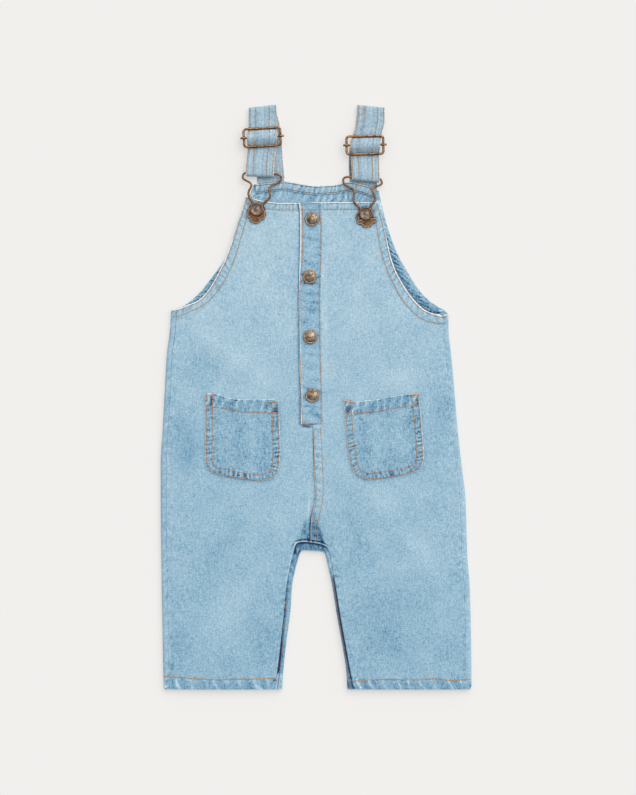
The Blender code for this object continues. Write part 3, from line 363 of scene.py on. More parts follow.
def read_curve(places, rows, at):
    """A table's columns at the given places, on smooth curves that don't swing past its own values."""
    places = np.asarray(places, dtype=float)
    rows = np.asarray(rows, dtype=float).reshape(len(places), -1)
    at = np.clip(np.asarray(at, dtype=float), places[0], places[-1])
    steps = np.diff(places)[:, None]
    runs = np.diff(rows, axis=0) / steps
    product = runs[:-1] * runs[1:]
    total = np.where(product > 0.0, runs[:-1] + runs[1:], 1.0)
    slopes = np.vstack((runs[:1], np.where(product > 0.0, 2.0 * product / total, 0.0), runs[-1:]))
    index = np.clip(np.searchsorted(places, at, side="right") - 1, 0, len(places) - 2)
    step = steps[index]
    t = ((at - places[index])[..., None]) / step
    return ((1 + 2 * t) * (1 - t) ** 2 * rows[index] + t * (1 - t) ** 2 * step * slopes[index]
            + t * t * (3 - 2 * t) * rows[index + 1] + t * t * (t - 1) * step * slopes[index + 1])


def lengths_along(rows):
    """Distance of each row's point from the first row, along the table."""
    rows = np.asarray(rows, dtype=float)
    return np.concatenate(([0.0], np.cumsum(np.sqrt((np.diff(rows[:, :2], axis=0) ** 2).sum(axis=1)))))


def read_path(rows, at):
    """A path's columns at distances along it."""
    return read_curve(lengths_along(rows), rows, at)


def dense(rows, pitch=2.5):
    """A path's points on smooth curves, about a pitch apart."""
    length = lengths_along(rows)[-1]
    return read_path(rows, np.linspace(0.0, length, max(2, round(length / pitch) + 1)))[:, :2]


def height_of(edge, x):
    """The y of a left-to-right edge above x."""
    edge = np.asarray(edge)
    return read_curve(edge[:, 0], edge[:, 1], x)[..., 0]


def spread(length, pitch, start=(), end=()):
    """Distances along a length: the ones asked for at its start and end, and even ones between."""
    first = start[-1] if start else 0.0
    last = length - (end[-1] if end else 0.0)
    count = max(1, round((last - first) / pitch))
    middle = list(np.linspace(first, last, count + 1)[1:-1])
    ends = [length - distance for distance in reversed(end)]
    return np.array([0.0, *start, *middle, *ends, length])


def beside(path, x, y):
    """Distance of points from a path, and how far along it they lie."""
    path = np.asarray(path, dtype=float)[:, :2]
    before = lengths_along(path)
    nearest = np.full(np.shape(x), np.inf)
    along = np.zeros(np.shape(x))
    for start, end, passed in zip(path[:-1], path[1:], before):
        run = end - start
        length = math.hypot(*run)
        share = ((x - start[0]) * run[0] + (y - start[1]) * run[1]) / (length * length)
        share = np.clip(share, 0.0, 1.0)
        distance = np.hypot(x - start[0] - share * run[0], y - start[1] - share * run[1])
        closer = distance < nearest
        nearest = np.where(closer, distance, nearest)
        along = np.where(closer, passed + share * length, along)
    return nearest, along


def moved(path, offsets, hand):
    """A dense path moved sideways: to its right-hand side for a hand of 1, to its left for -1."""
    points = dense(path, 2.0)
    tangents = np.gradient(points, axis=0)
    tangents = tangents / np.hypot(*tangents.T)[:, None]
    offsets = np.broadcast_to(np.asarray(offsets, dtype=float), (len(points),))
    return points + hand * offsets[:, None] * np.column_stack((tangents[:, 1], -tangents[:, 0]))


def soft_lines(table, x, y):
    """Sum of soft streaks, each fading out towards its ends and across its width."""
    total = np.zeros(np.shape(x))
    for x0, y0, x1, y1, width, rise in table:
        run = math.hypot(x1 - x0, y1 - y0)
        along = ((x - x0) * (x1 - x0) + (y - y0) * (y1 - y0)) / (run * run)
        across = ((x - x0) * (y1 - y0) - (y - y0) * (x1 - x0)) / run
        fade = ease(along * 2.5) * ease((1.0 - along) * 2.5)
        total = total + rise * fade * bell(across / (0.5 * width))
    return total


# ---------------------------------------------------------------- the shape of the laid garment

def outline_x(side, y):
    rows = np.array(OUTLINE[side])
    return read_curve(rows[:, 1], rows[:, 0], y)[..., 0]


def front_seam_x(y):
    rows = np.array(FRONT_SEAM)
    return read_curve(rows[:, 1], rows[:, 0], y)[..., 0]


def armhole_edge(side):
    """The front's armhole edge, carried on over the rolled side to the outline."""
    return [OUTLINE[side][-1], *FRONT_ARMHOLE[side]]


def edge_distance(x, y):
    """Distance in from the rolled edges: both sides, both inner legs and the crotch."""
    nearest = np.full(np.shape(x), np.inf)
    for side in SIDES:
        outline = [*OUTLINE[side], (OUTLINE[side][-1][0], BACK_TOP_Y)]
        nearest = np.minimum(nearest, beside(outline, x, y)[0])
        nearest = np.minimum(nearest, beside(LEG[side], x, y)[0])
    return nearest


def armhole_distance(x, y):
    return np.minimum(beside(armhole_edge("left"), x, y)[0], beside(armhole_edge("right"), x, y)[0])


def recess(x, y):
    """Share of the hollow beside the crotch, between the bulges of the legs."""
    rows = np.array(RECESS)
    bounds = read_curve(rows[:, 0], rows[:, 1:], y)
    inside = np.minimum(x - bounds[..., 0], bounds[..., 1] - x)
    return ease((inside + 0.8) / 2.0) * ease((rows[-1, 0] - y) / 16.0)


def front_level(x, y, edge):
    """Top of the front cloth before its edges roll down and without its hems."""
    above = ease((y - 40.0) / 60.0)
    open_edge = np.minimum(edge, armhole_distance(x, y) + 2.0 * ROLL)
    crown = CROWN * ease((edge * (1.0 - above) + open_edge * above - ROLL) / CROWN_REACH)
    sink = RECESS_DEPTH * recess(x, y) * ease(edge / 5.0)
    folds = soft_lines(FOLDS, x, y) * ease((edge - ROLL) / 14.0)
    return SEAM_LEVEL - BIB_LEVEL_DROP * above + crown - sink + folds


def clear_of_placket(x):
    return ease((PLACKET[-1][1] - 1.8 - x) / 0.8) + ease((x - PLACKET[-1][2] - 1.8) / 0.8)


def hem_raise(x, y):
    """Rise of the turned hems and of the lapped seam above the front panels."""
    soft = 1.2
    leg = ease((HEM_Y + LEG_HEM - y) / soft)
    bib = ease((y - height_of(BIB_TOP, x) + BIB_HEM) / soft) * clear_of_placket(x)
    armhole = ease((ARMHOLE_HEM - armhole_distance(x, y)) / soft) * ease((y - 60.0) / 6.0)
    lap_x = x - front_seam_x(y)
    lap = ease((LAP_WIDTH - lap_x) / soft) * (lap_x >= 0.0) * ease((LAP_TOP - y) / 3.0)
    return HEM_RAISE * np.maximum(np.maximum(leg, bib), np.maximum(armhole, lap))


class Marks:
    """What shows on the points of a sheet: its strongest pucker, its worn edge and its tone, which holds painted shade
    and highlight as well as the wash's tone.
    """

    def __init__(self, shape):
        self.height = np.zeros(shape)
        self.shown = np.zeros(shape)
        self.phase = np.zeros(shape)
        self.pale = np.zeros(shape)
        self.dark = np.zeros(shape)
        self.worn = np.full(shape, 9.0)
        self.tone = np.zeros(shape)

    def border(self, kind, distance, along, mask=1.0):
        """Adds a sewn border's puckers, at a distance in from its edge and along it."""
        spacing, lean, depth, width, pale, dark, worn, tone = PUCKERS[kind]
        wander = (0.30 * np.sin(along / (2.7 * spacing) + 1.3) + 0.20 * np.sin(along / (0.83 * spacing) + 0.4)
                  + 0.12 * np.sin(along / (0.41 * spacing) + 2.2))
        phase = along / spacing + wander + lean * distance / spacing
        swell = 0.64 + 0.24 * np.sin(along / (1.9 * spacing) + 2.0) + 0.12 * np.sin(along / (0.61 * spacing) + 0.7)
        inside = ease((width + 0.8 - distance) / 1.6)
        beyond = (0.55 if kind == "pocket" else 0.3) * ease((width + 6.0 - distance) / 6.0)
        shown = swell * np.maximum(inside, beyond) * mask
        self.tone += tone * inside * mask
        self.height += depth * shown * np.cos(2.0 * np.pi * phase)
        stronger = shown > self.shown
        self.shown = np.where(stronger, shown, self.shown)
        self.phase = np.where(stronger, phase, self.phase)
        self.pale = np.where(stronger, shown * pale, self.pale)
        self.dark = np.where(stronger, shown * dark, self.dark)
        if worn > 0.0:
            self.worn = np.where(mask > 0.0, np.minimum(self.worn, distance / worn), self.worn)

    def rows(self, paths, x, y, groove=0.12):
        """Sinks the cloth along rows of stitching and paints shade into the groove there."""
        for path in paths:
            distance = beside(path, x, y)[0]
            self.height -= groove * bell(distance / 0.7)
            # Painted shade beside the thread
            self.tone -= 0.16 * bell(distance / 0.9)


def front_borders():
    """Each sewn border of the front: its kind and its path."""
    borders = [("bib", dense(BIB_TOP, 3.0))]
    for side in SIDES:
        sign = SIGN[side]
        leg = np.array(LEG[side])
        side_y = np.linspace(HEM_Y, FRONT_ARMHOLE[side][0][1], 80)
        side_x = outline_x(side, side_y) - sign * SIDE_SEAM_INSET
        hem = sorted(((sign * 140.0, HEM_Y), (leg[0, 2], HEM_Y)))
        borders.append(("armhole", dense(armhole_edge(side), 3.0)))
        borders.append(("leg", np.array(hem)))
        borders.append(("side", np.column_stack((side_x, side_y))))
        borders.append(("inseam", dense(leg[:, 2:], 3.0)))
    return borders


def front_rows(side):
    """Paths of the rows of stitching on one front panel."""
    armhole = dense(armhole_edge(side), 2.0)
    table = np.array(ARMHOLE_ROWS[side])
    offsets = read_curve(table[:, 0], table[:, 1:], lengths_along(armhole) / lengths_along(armhole)[-1])
    rows = [dense(moved(armhole_edge(side), column, -SIGN[side]), 1.0) for column in offsets.T]
    rows = [row[SIGN[side] * (outline_x(side, row[:, 1]) - row[:, 0]) > 0.9] for row in rows]
    for offset in BIB_ROWS:
        row = dense([(x, y - offset) for x, y in BIB_TOP], 2.0)
        low, high = sorted((PLACKET[-1][1 if side == "left" else 2], armhole[-1, 0] - SIGN[side] * 1.2))
        rows.append(row[(row[:, 0] > low) & (row[:, 0] < high)])
    rows.append(dense(LEG_HEM_ROW[side], 2.0))
    if side == "right":
        rows += [dense(row, 2.0) for row in SEAM_ROWS]
    return rows


def seam_bed(x, y):
    """Height of the fronts' stitches: on the front, or on the back's strip where a row runs on over it."""
    edge = edge_distance(x, y)
    strip = front_level(x, y, edge) - 0.3 * rounded(edge, ROLL) + hem_raise(x, y)
    front = front_cloth(x, y).height
    return np.where(edge < SIDE_SEAM_INSET + 0.6, np.maximum(front, strip), front)


def pocket_outline(side):
    """A pocket's edge from its top left corner down, across and up to its top right corner."""
    rows = np.array(POCKET[side])
    # Hollows is painted shade: the near black of the slots and shadows
    return dense(np.vstack((rows[::-1, :2], rows[:, 2:])), 2.0)


def front_shape(x, y):
    """Height of the front's top without its sewing."""
    edge = edge_distance(x, y)
    height = front_level(x, y, edge) - rounded(edge, ROLL) + hem_raise(x, y)
    return height + soft_lines(CREASES, x, y) * ease(edge / 9.0)


def front_cloth(x, y):
    """Marks on the front's top, with its height."""
    marks = Marks(np.shape(x))
    marks.height += front_shape(x, y)
    # Painted light falloff: the front grows lighter towards the top, on top of the patches of TONES
    marks.tone += soft_lines(TONES, x, y) + 0.0011 * (y + 20.0)
    # Painted shade in the hollow beside the crotch, on top of its sunk geometry
    marks.tone -= (0.38 + 0.032 * np.clip(x + 16.0, 0.0, 12.0) + 0.06 * np.sin(2.3 * x)) * recess(x, y)
    for kind, path in front_borders():
        distance, along = beside(path, x, y)
        if kind == "armhole":
            distance = distance + 0.8 * ease((y - 128.0) / 25.0)
        marks.border(kind, distance, along)
        marks.height -= rounded(distance, 0.15 if kind == "side" else 0.6)
        if kind == "side":
            marks.tone += 0.3 * bell(distance / 0.8)
        if kind == "inseam":
            # At the crotch: a pale line along the front's inner edge, and painted shade in a line just inside it
            crotch = ease((y + 133.6) / 2.0)
            marks.tone += crotch * (1.2 * bell((distance - 0.6) / 0.7) - 1.3 * bell((distance - 2.0) / 0.6))
    distance, along = beside(dense([place for place in FRONT_SEAM if place[1] < -20.0], 3.0), x, y)
    lap = (x >= front_seam_x(y)) * (y < LAP_TOP) * 1.0
    under = (x < front_seam_x(y)) * (y < LAP_TOP) * 1.0
    marks.border("lap", distance, along, lap)
    marks.height -= lap * rounded(distance, 0.5) + under * 0.5 * bell(distance / 1.4)
    # Painted shadow beside the lapped seam's edge, on the panel under the lap, stronger towards the crotch
    marks.tone -= under * (0.35 + 0.30 * ease((-92.0 - y) / 10.0)) * bell(distance / 1.8)
    for side in SIDES:
        marks.rows(front_rows(side), x, y)
        # Painted shade round each pocket's edge
        marks.tone -= 0.26 * bell(beside(pocket_outline(side), x, y)[0] / 2.6)
        button_x, button_y, turn = STRAP[side]["button"]
        # Painted shadow round the bib button
        marks.tone -= 1.4 * bell((np.hypot(x - button_x, y - button_y) - 6.4) / 0.8)
        plate = np.insert(np.vstack(mirrored(CLIP_PLATES[side])), 2, 0.0, axis=1)
        # Painted shadow round the clip's plate
        marks.tone -= 1.8 * bell(beside(set_down(plate, button_x, button_y, 0.0, turn), x, y)[0] / 0.8)
    levels = np.array(PLACKET)
    left_of_placket = read_curve(levels[:, 0], levels[:, 1], y)[..., 0] - x
    strip = (y > PLACKET[0][0]) * (left_of_placket > -4.0)
    # Painted shadow along the left of the button strip's folded edge
    marks.tone -= strip * (0.9 * bell((left_of_placket - 0.3) / 0.8) + 0.24 * bell(left_of_placket / 3.0))
    return marks


# ---------------------------------------------------------------- meshes

def take(name, data, look, nodes=()):
    """Makes a piece of finished data, which rides on the frame and stands for the given CAD nodes."""
    item = bpy.data.objects.new(name, data)
    bpy.context.scene.collection.objects.link(item)
    data.materials.append(look)
    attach(item, "root")
    if nodes:
        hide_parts(*nodes)
    return item


def store(mesh, name, values, kind="FLOAT"):
    """Keeps a value or vector for each point of a mesh."""
    layer = mesh.attributes.new(name, kind, "POINT")
    layer.data.foreach_set("value" if kind == "FLOAT" else "vector", np.asarray(values, dtype=np.float32).ravel())


def cloth(name, points, marks, wall, look, nodes=(), grow=-1.0, kept=None, shares=None):
    """A sheet of cloth on a grid of points, its wall below them (-1), above them (1) or both ways (0).

    kept leaves out grid points, and shares gives the part of the wall that each point has.
    """
    pucker = np.stack((marks.phase, marks.pale, marks.dark), axis=-1)
    layers = [points, pucker, marks.worn, marks.tone, kept, shares]
    middle = points.shape[0] // 2, points.shape[1] // 2
    across = points[middle[0], middle[1] + 1] - points[middle]
    up_rows = points[middle[0] + 1, middle[1]] - points[middle]
    if np.cross(across, up_rows)[2] < 0.0:
        layers = [None if layer is None else layer[:, ::-1] for layer in layers]
    points, pucker, worn, tone, kept, shares = layers

    rows, columns = points.shape[:2]
    mesh = bpy.data.meshes.new(name)
    grid = bmesh.new()
    bmesh.ops.create_grid(grid, x_segments=columns - 1, y_segments=rows - 1, size=1.0)
    grid.to_mesh(mesh)
    grid.free()
    places = np.empty(len(mesh.vertices) * 3)
    mesh.vertices.foreach_get("co", places)
    places = places.reshape(-1, 3)
    column = np.rint((places[:, 0] + 1.0) / 2.0 * (columns - 1)).astype(int)
    row = np.rint((places[:, 1] + 1.0) / 2.0 * (rows - 1)).astype(int)
    mesh.vertices.foreach_set("co", (points[row, column] * MM).ravel())
    store(mesh, "pucker", pucker[row, column], "FLOAT_VECTOR")
    store(mesh, "worn", worn[row, column])
    store(mesh, "tone", tone[row, column])
    if kept is not None:
        trimmed = bmesh.new()
        trimmed.from_mesh(mesh)
        trimmed.verts.ensure_lookup_table()
        dropped = [trimmed.verts[index] for index in np.flatnonzero(~kept[row, column])]
        bmesh.ops.delete(trimmed, geom=dropped, context="VERTS")
        trimmed.to_mesh(mesh)
        trimmed.free()
    mesh.shade_smooth()
    item = take(name, mesh, look, nodes)
    solidify = item.modifiers.new("wall", "SOLIDIFY")
    solidify.thickness = wall * MM
    solidify.offset = grow
    if shares is not None:
        group = item.vertex_groups.new(name="wall")
        for index, share in enumerate(shares[row, column]):
            group.add([index], float(share), "REPLACE")
        solidify.vertex_group = "wall"
    return item


def lay(paths, surface, up=1.0, lift=0.0):
    """Rows of stitching laid on a surface that gives a height for x and y."""
    paths = [np.asarray(path, dtype=float)[:, :2] for path in paths if len(path) > 1]
    every = np.vstack(paths)
    heights = surface(every[:, 0], every[:, 1]) + lift
    seams = []
    first = 0
    for path in paths:
        height = heights[first:first + len(path)]
        seams.append((np.column_stack((path, height)), np.tile((0.0, 0.0, up), (len(path), 1))))
        first += len(path)
    return seams


def bars(places, width=1.7):
    """The close to-and-fro stitches of bartacks, each between the two ends of a short line."""
    paths = []
    for x0, y0, x1, y1 in places:
        length = math.hypot(x1 - x0, y1 - y0)
        along = np.array((x1 - x0, y1 - y0)) / length
        aside = np.array((-along[1], along[0])) * width / 2.0
        count = max(3, round(length / 0.55))
        for index in range(count):
            centre = np.array((x0, y0)) + along * length * (index + 0.5) / count
            reach = aside * (0.92 + 0.12 * math.sin(index * 2.4))
            paths.append(np.array((centre - reach, centre + reach + along * 0.2)))
    return paths


def sew(name, seams, look, size, share=1.12):
    """Stitches along rows as one piece. A row has its points and the way up at each of them.

    size is the width and height of a stitch and the distance from one to the next.
    """
    wide, high, pitch = size
    bed = bmesh.new()
    for points, ups in seams:
        places = np.concatenate(([0.0], np.cumsum(np.sqrt((np.diff(points, axis=0) ** 2).sum(axis=1)))))
        count = max(1, round(places[-1] / pitch))
        step = places[-1] / count
        for index in range(count):
            lean = 0.05 * math.sin(12.9898 * index + 3.0 * places[-1])
            ends = (np.array((0.5 - share / 2.0, 0.5 + share / 2.0)) + index + lean) * step
            start, end = (Vector([float(np.interp(at, places, points[:, k])) for k in range(3)]) for at in ends)
            up = Vector([float(np.interp(ends.mean(), places, ups[:, k])) for k in range(3)])
            along = end - start
            length = along.length
            along.normalize()
            aside = up.cross(along).normalized()
            up = along.cross(aside)
            turn = Matrix((aside * wide / 2.0, up * high / 2.0, along * length / 2.0)).transposed() * MM
            centre = ((start + end) / 2.0 + up * high * 0.12) * MM
            bmesh.ops.create_uvsphere(bed, u_segments=6, v_segments=4, radius=1.0,
                                      matrix=Matrix.Translation(centre) @ turn.to_4x4())
    mesh = bpy.data.meshes.new(name)
    bmesh.ops.recalc_face_normals(bed, faces=bed.faces)
    bed.to_mesh(mesh)
    bed.free()
    mesh.shade_smooth()
    return take(name, mesh, look, ())


def wire(name, points, diameter, look, nodes, closed=False):
    """A round wire along a path of points."""
    curve = bpy.data.curves.new(name, "CURVE")
    curve.dimensions = "3D"
    curve.bevel_depth = diameter / 2.0 * MM
    curve.bevel_resolution = 4
    curve.use_fill_caps = True
    spline = curve.splines.new("POLY")
    spline.points.add(len(points) - 1)
    for place, point in zip(spline.points, points):
        place.co = (point[0] * MM, point[1] * MM, point[2] * MM, 1.0)
    spline.use_cyclic_u = closed
    spline.use_smooth = True
    return take(name, curve, look, nodes)


def turned(name, profile, centre, tilt, look, nodes, steps=40):
    """A piece spun round its own axis from a profile of radius and height, read from its top down."""
    form = bmesh.new()
    line = [form.verts.new((radius, 0.0, height)) for radius, height in profile]
    edges = [form.edges.new(pair) for pair in zip(line[:-1], line[1:])]
    bmesh.ops.spin(form, geom=[*line, *edges], cent=(0.0, 0.0, 0.0), axis=(0.0, 0.0, 1.0), angle=2.0 * math.pi,
                   steps=steps, use_merge=True, use_duplicate=False)
    bmesh.ops.remove_doubles(form, verts=form.verts, dist=0.001)
    bmesh.ops.recalc_face_normals(form, faces=form.faces)
    place = Matrix.Translation(Vector(centre) * MM) @ Matrix.Rotation(tilt, 4, "X") @ Matrix.Scale(MM, 4)
    bmesh.ops.transform(form, matrix=place, verts=form.verts)
    rims = [math.hypot(vertex.co.x - place.translation.x, vertex.co.y - place.translation.y) for vertex in form.verts]
    mesh = bpy.data.meshes.new(name)
    form.to_mesh(mesh)
    form.free()
    store(mesh, "rim", np.array(rims) / max(rims))
    mesh.shade_smooth()
    return take(name, mesh, look, nodes)


# ---------------------------------------------------------------- materials

def node(tree, kind, settings=None, values=None, links=None):
    """Adds a node with its settings, the values of its sockets and what they are linked from."""
    item = tree.nodes.new(kind)
    for name, value in (settings or {}).items():
        setattr(item, name, value)
    for key, value in (values or {}).items():
        item.inputs[key].default_value = value
    for key, socket in (links or {}).items():
        tree.links.new(socket, item.inputs[key])
    return item


def effect(name, inputs, outputs):
    """A new node group with named number inputs and outputs."""
    tree = bpy.data.node_groups.new(name, "ShaderNodeTree")
    for label, default in inputs:
        socket = tree.interface.new_socket(label, in_out="INPUT", socket_type="NodeSocketFloat")
        socket.default_value = default
    for label in outputs:
        kind = "NodeSocketColor" if label == "Colour" else "NodeSocketFloat"
        tree.interface.new_socket(label, in_out="OUTPUT", socket_type=kind)
    return tree, tree.nodes.new("NodeGroupInput"), tree.nodes.new("NodeGroupOutput")


def ranged(tree, socket, low, high, to_low=-1.0, to_high=1.0, soft=False, clamp=False):
    """A socket's value carried from one range to another."""
    settings = {"clamp": clamp, "interpolation_type": "SMOOTHSTEP" if soft else "LINEAR"}
    values = {"From Min": low, "From Max": high, "To Min": to_low, "To Max": to_high}
    return node(tree, "ShaderNodeMapRange", settings, values, {"Value": socket}).outputs["Result"]


def summed(tree, parts, start=0.0):
    """Sum of sockets, each times its share, which is a number or another socket."""
    total = None
    for socket, share in parts:
        step = node(tree, "ShaderNodeMath", {"operation": "MULTIPLY_ADD"}, {2: start}, {0: socket})
        if isinstance(share, (int, float)):
            step.inputs[1].default_value = share
        else:
            tree.links.new(share, step.inputs[1])
        if total is not None:
            tree.links.new(total, step.inputs[2])
        total = step.outputs[0]
    return total


def times(tree, first, second):
    return node(tree, "ShaderNodeMath", {"operation": "MULTIPLY"}, {}, {0: first, 1: second}).outputs[0]


def speckle(tree, size, detail=2.0, stretch=(1.0, 1.0, 1.0), turn=0.0):
    """Noise whose grains have a size in millimetres and are drawn out by a stretch."""
    place = node(tree, "ShaderNodeTexCoord").outputs["Object"]
    scale = tuple(1.0 / share for share in stretch)
    place = node(tree, "ShaderNodeMapping", {}, {"Rotation": (0.0, 0.0, turn), "Scale": scale}, {"Vector": place})
    values = {"Scale": 1000.0 / size, "Detail": detail, "Roughness": 0.55}
    return node(tree, "ShaderNodeTexNoise", {}, values, {"Vector": place.outputs[0]}).outputs["Fac"]


def weave_effect():
    """Twill lines, uneven yarns, flecks and wash clouds of denim: how pale, and how high."""
    inputs = [("Twill", 0.02), ("Yarn", 0.05), ("Fleck", 0.05), ("Cloud", 0.04)]
    tree, start, end = effect("denim_weave", inputs, ["Pale", "Height"])
    place = node(tree, "ShaderNodeTexCoord").outputs["Object"]
    turned_place = node(tree, "ShaderNodeMapping", {}, {"Rotation": (0.0, 0.0, math.radians(27.0))}, {"Vector": place})
    lines = node(tree, "ShaderNodeTexWave", {"wave_type": "BANDS", "bands_direction": "X"},
                 {"Scale": 340.0, "Distortion": 1.6, "Detail": 2.0, "Detail Scale": 1.0},
                 {"Vector": turned_place.outputs[0]}).outputs["Fac"]
    lines = ranged(tree, lines, 0.0, 1.0)
    warp = ranged(tree, speckle(tree, 1.5, 2.0, (0.65, 2.6, 1.0)), 0.34, 0.66)
    weft = ranged(tree, speckle(tree, 1.5, 2.0, (2.0, 0.65, 1.0)), 0.34, 0.66)
    fleck = ranged(tree, speckle(tree, 1.4, 2.0), 0.34, 0.66)
    cloud = summed(tree, [(ranged(tree, speckle(tree, 24.0, 3.0), 0.35, 0.65), 0.7),
                          (ranged(tree, speckle(tree, 6.5, 3.0), 0.35, 0.65), 0.3)])
    yarns = summed(tree, [(warp, 0.65), (weft, 0.45)])
    pale = summed(tree, [(lines, start.outputs["Twill"]), (yarns, start.outputs["Yarn"]),
                         (fleck, start.outputs["Fleck"]), (cloud, start.outputs["Cloud"])])
    height = summed(tree, [(lines, 0.5), (yarns, 0.4), (fleck, 0.35)])
    tree.links.new(pale, end.inputs["Pale"])
    tree.links.new(height, end.inputs["Height"])
    return tree


def seam_effect():
    """Pale streaks on the crests of a seam's puckers, dark dye between them, and bleached edges."""
    tree, start, end = effect("seam_puckers", [("Streaks", 0.4), ("Dye", 0.4), ("Wear", 0.4)], ["Pale", "Height"])
    pucker = node(tree, "ShaderNodeAttribute", {"attribute_name": "pucker"}).outputs["Vector"]
    phase, pale, dark = node(tree, "ShaderNodeSeparateXYZ", {}, {}, {"Vector": pucker}).outputs
    stray = ranged(tree, speckle(tree, 7.0, 2.0), 0.32, 0.68, -0.15, 0.15)
    turns = summed(tree, [(phase, 2.0 * math.pi), (stray, 2.0 * math.pi)])
    crest = node(tree, "ShaderNodeMath", {"operation": "COSINE"}, {}, {0: turns}).outputs[0]
    patchy = ranged(tree, speckle(tree, 4.5, 2.0), 0.36, 0.62, 0.35, 1.35)
    streak = times(tree, times(tree, ranged(tree, crest, 0.76, 1.0, 0.0, 1.0, True, True), pale), patchy)
    dye = times(tree, times(tree, ranged(tree, crest, 0.3, -0.95, 0.0, 1.0, True, True), dark), patchy)
    worn = node(tree, "ShaderNodeAttribute", {"attribute_name": "worn"}).outputs["Fac"]
    rubbed = ranged(tree, speckle(tree, 2.6, 3.0), 0.36, 0.6, 0.55, 1.15)
    wear = times(tree, ranged(tree, worn, 1.5, 0.25, 0.0, 1.0, True, True), rubbed)
    dye_share = node(tree, "ShaderNodeMath", {"operation": "MULTIPLY"}, {1: -1.0}, {0: start.outputs["Dye"]})
    total = summed(tree, [(streak, start.outputs["Streaks"]), (dye, dye_share.outputs[0]),
                          (wear, start.outputs["Wear"])])
    height = summed(tree, [(streak, 1.0), (dye, -1.0)])
    tree.links.new(total, end.inputs["Pale"])
    tree.links.new(height, end.inputs["Height"])
    return tree


def dye_effect(colours):
    """Colour of washed indigo cloth for how pale it is."""
    tree, start, end = effect("washed_indigo", [("Pale", 0.5)], ["Colour"])
    ramp = node(tree, "ShaderNodeValToRGB", {}, {}, {"Fac": start.outputs["Pale"]})
    # The hollow stop is painted shade, for slots and shadows
    stops = [(0.0, colours.hollow), (0.13, colours.ink), (0.30, colours.indigo), (0.55, colours.washed),
             (0.78, colours.faded), (1.0, colours.bleached)]
    for index, (place, colour) in enumerate(stops):
        stop = ramp.color_ramp.elements[index] if index < 2 else ramp.color_ramp.elements.new(place)
        stop.position = place
        stop.color = (*colour, 1.0)
    tree.links.new(ramp.outputs["Color"], end.inputs["Colour"])
    return tree


def effect_node(tree, name, build, values):
    """Places a shared effect, which is built when first used."""
    shared = bpy.data.node_groups.get(name) or build()
    item = node(tree, "ShaderNodeGroup", {"node_tree": shared})
    for label, value in values.items():
        item.inputs[label].default_value = value
    return item


def new_look(name, roughness, metallic=0.0):
    look = bpy.data.materials.new(name)
    look.use_nodes = True
    shader = look.node_tree.nodes["Principled BSDF"]
    shader.inputs["Roughness"].default_value = roughness
    shader.inputs["Metallic"].default_value = metallic
    return look, look.node_tree, shader


def denim_look(name, paleness, grain, streaks, dye, wear, grey=0.0):
    """Washed denim: how pale it is, its grain, how strongly its seams show, and its share of grey yarn."""
    look, tree, shader = new_look(name, 0.92)
    shader.inputs["Sheen Weight"].default_value = 0.12
    shader.inputs["Sheen Roughness"].default_value = 0.6
    shader.inputs["Specular IOR Level"].default_value = 0.2
    colours = bpy.context.scene.dungarees_colours
    weave = effect_node(tree, "denim_weave", weave_effect,
                        {"Twill": 0.02 * grain, "Yarn": 0.12 * grain, "Fleck": 0.10 * grain, "Cloud": 0.05 * grain})
    seams = effect_node(tree, "seam_puckers", seam_effect, {"Streaks": streaks, "Dye": dye, "Wear": wear})
    # The tone attribute brings the wash's tone together with painted shade and highlight; the grain fades where it is
    # dark
    tone = node(tree, "ShaderNodeAttribute", {"attribute_name": "tone"}).outputs["Fac"]
    calm = ranged(tree, tone, -2.2, -0.3, 0.3, 1.0, False, True)
    pale = summed(tree, [(weave.outputs["Pale"], calm), (seams.outputs["Pale"], 1.0), (tone, 0.35)], 0.0)
    pale = node(tree, "ShaderNodeMath", {"operation": "ADD"}, {1: paleness}, {0: pale}).outputs[0]
    dyed = effect_node(tree, "washed_indigo", lambda: dye_effect(colours), {})
    tree.links.new(pale, dyed.inputs["Pale"])
    colour = dyed.outputs["Colour"]
    if grey:
        colour = node(tree, "ShaderNodeMix", {"data_type": "RGBA"}, {"B": (*colours.grey, 1.0), "Factor": grey},
                      {"A": colour}).outputs["Result"]
    tree.links.new(colour, shader.inputs["Base Color"])
    height = summed(tree, [(weave.outputs["Height"], 0.12), (seams.outputs["Height"], 0.10)])
    bump = node(tree, "ShaderNodeBump", {}, {"Strength": 0.6, "Distance": MM}, {"Height": height})
    tree.links.new(bump.outputs["Normal"], shader.inputs["Normal"])
    return look


def thread_look(name, colour):
    """Twisted thread, a little lighter and darker from place to place."""
    look, tree, shader = new_look(name, 0.6)
    strands = speckle(tree, 0.9, 3.0)
    dark = tuple(0.58 * part for part in colour)
    mixed = node(tree, "ShaderNodeMix", {"data_type": "RGBA"}, {"A": (*dark, 1.0), "B": (*colour, 1.0)})
    tree.links.new(ranged(tree, strands, 0.35, 0.6, 0.0, 1.0, False, True), mixed.inputs["Factor"])
    tree.links.new(mixed.outputs["Result"], shader.inputs["Base Color"])
    bump = node(tree, "ShaderNodeBump", {}, {"Strength": 0.4, "Distance": 0.2 * MM},
                {"Height": speckle(tree, 0.35, 1.0)})
    tree.links.new(bump.outputs["Normal"], shader.inputs["Normal"])
    return look


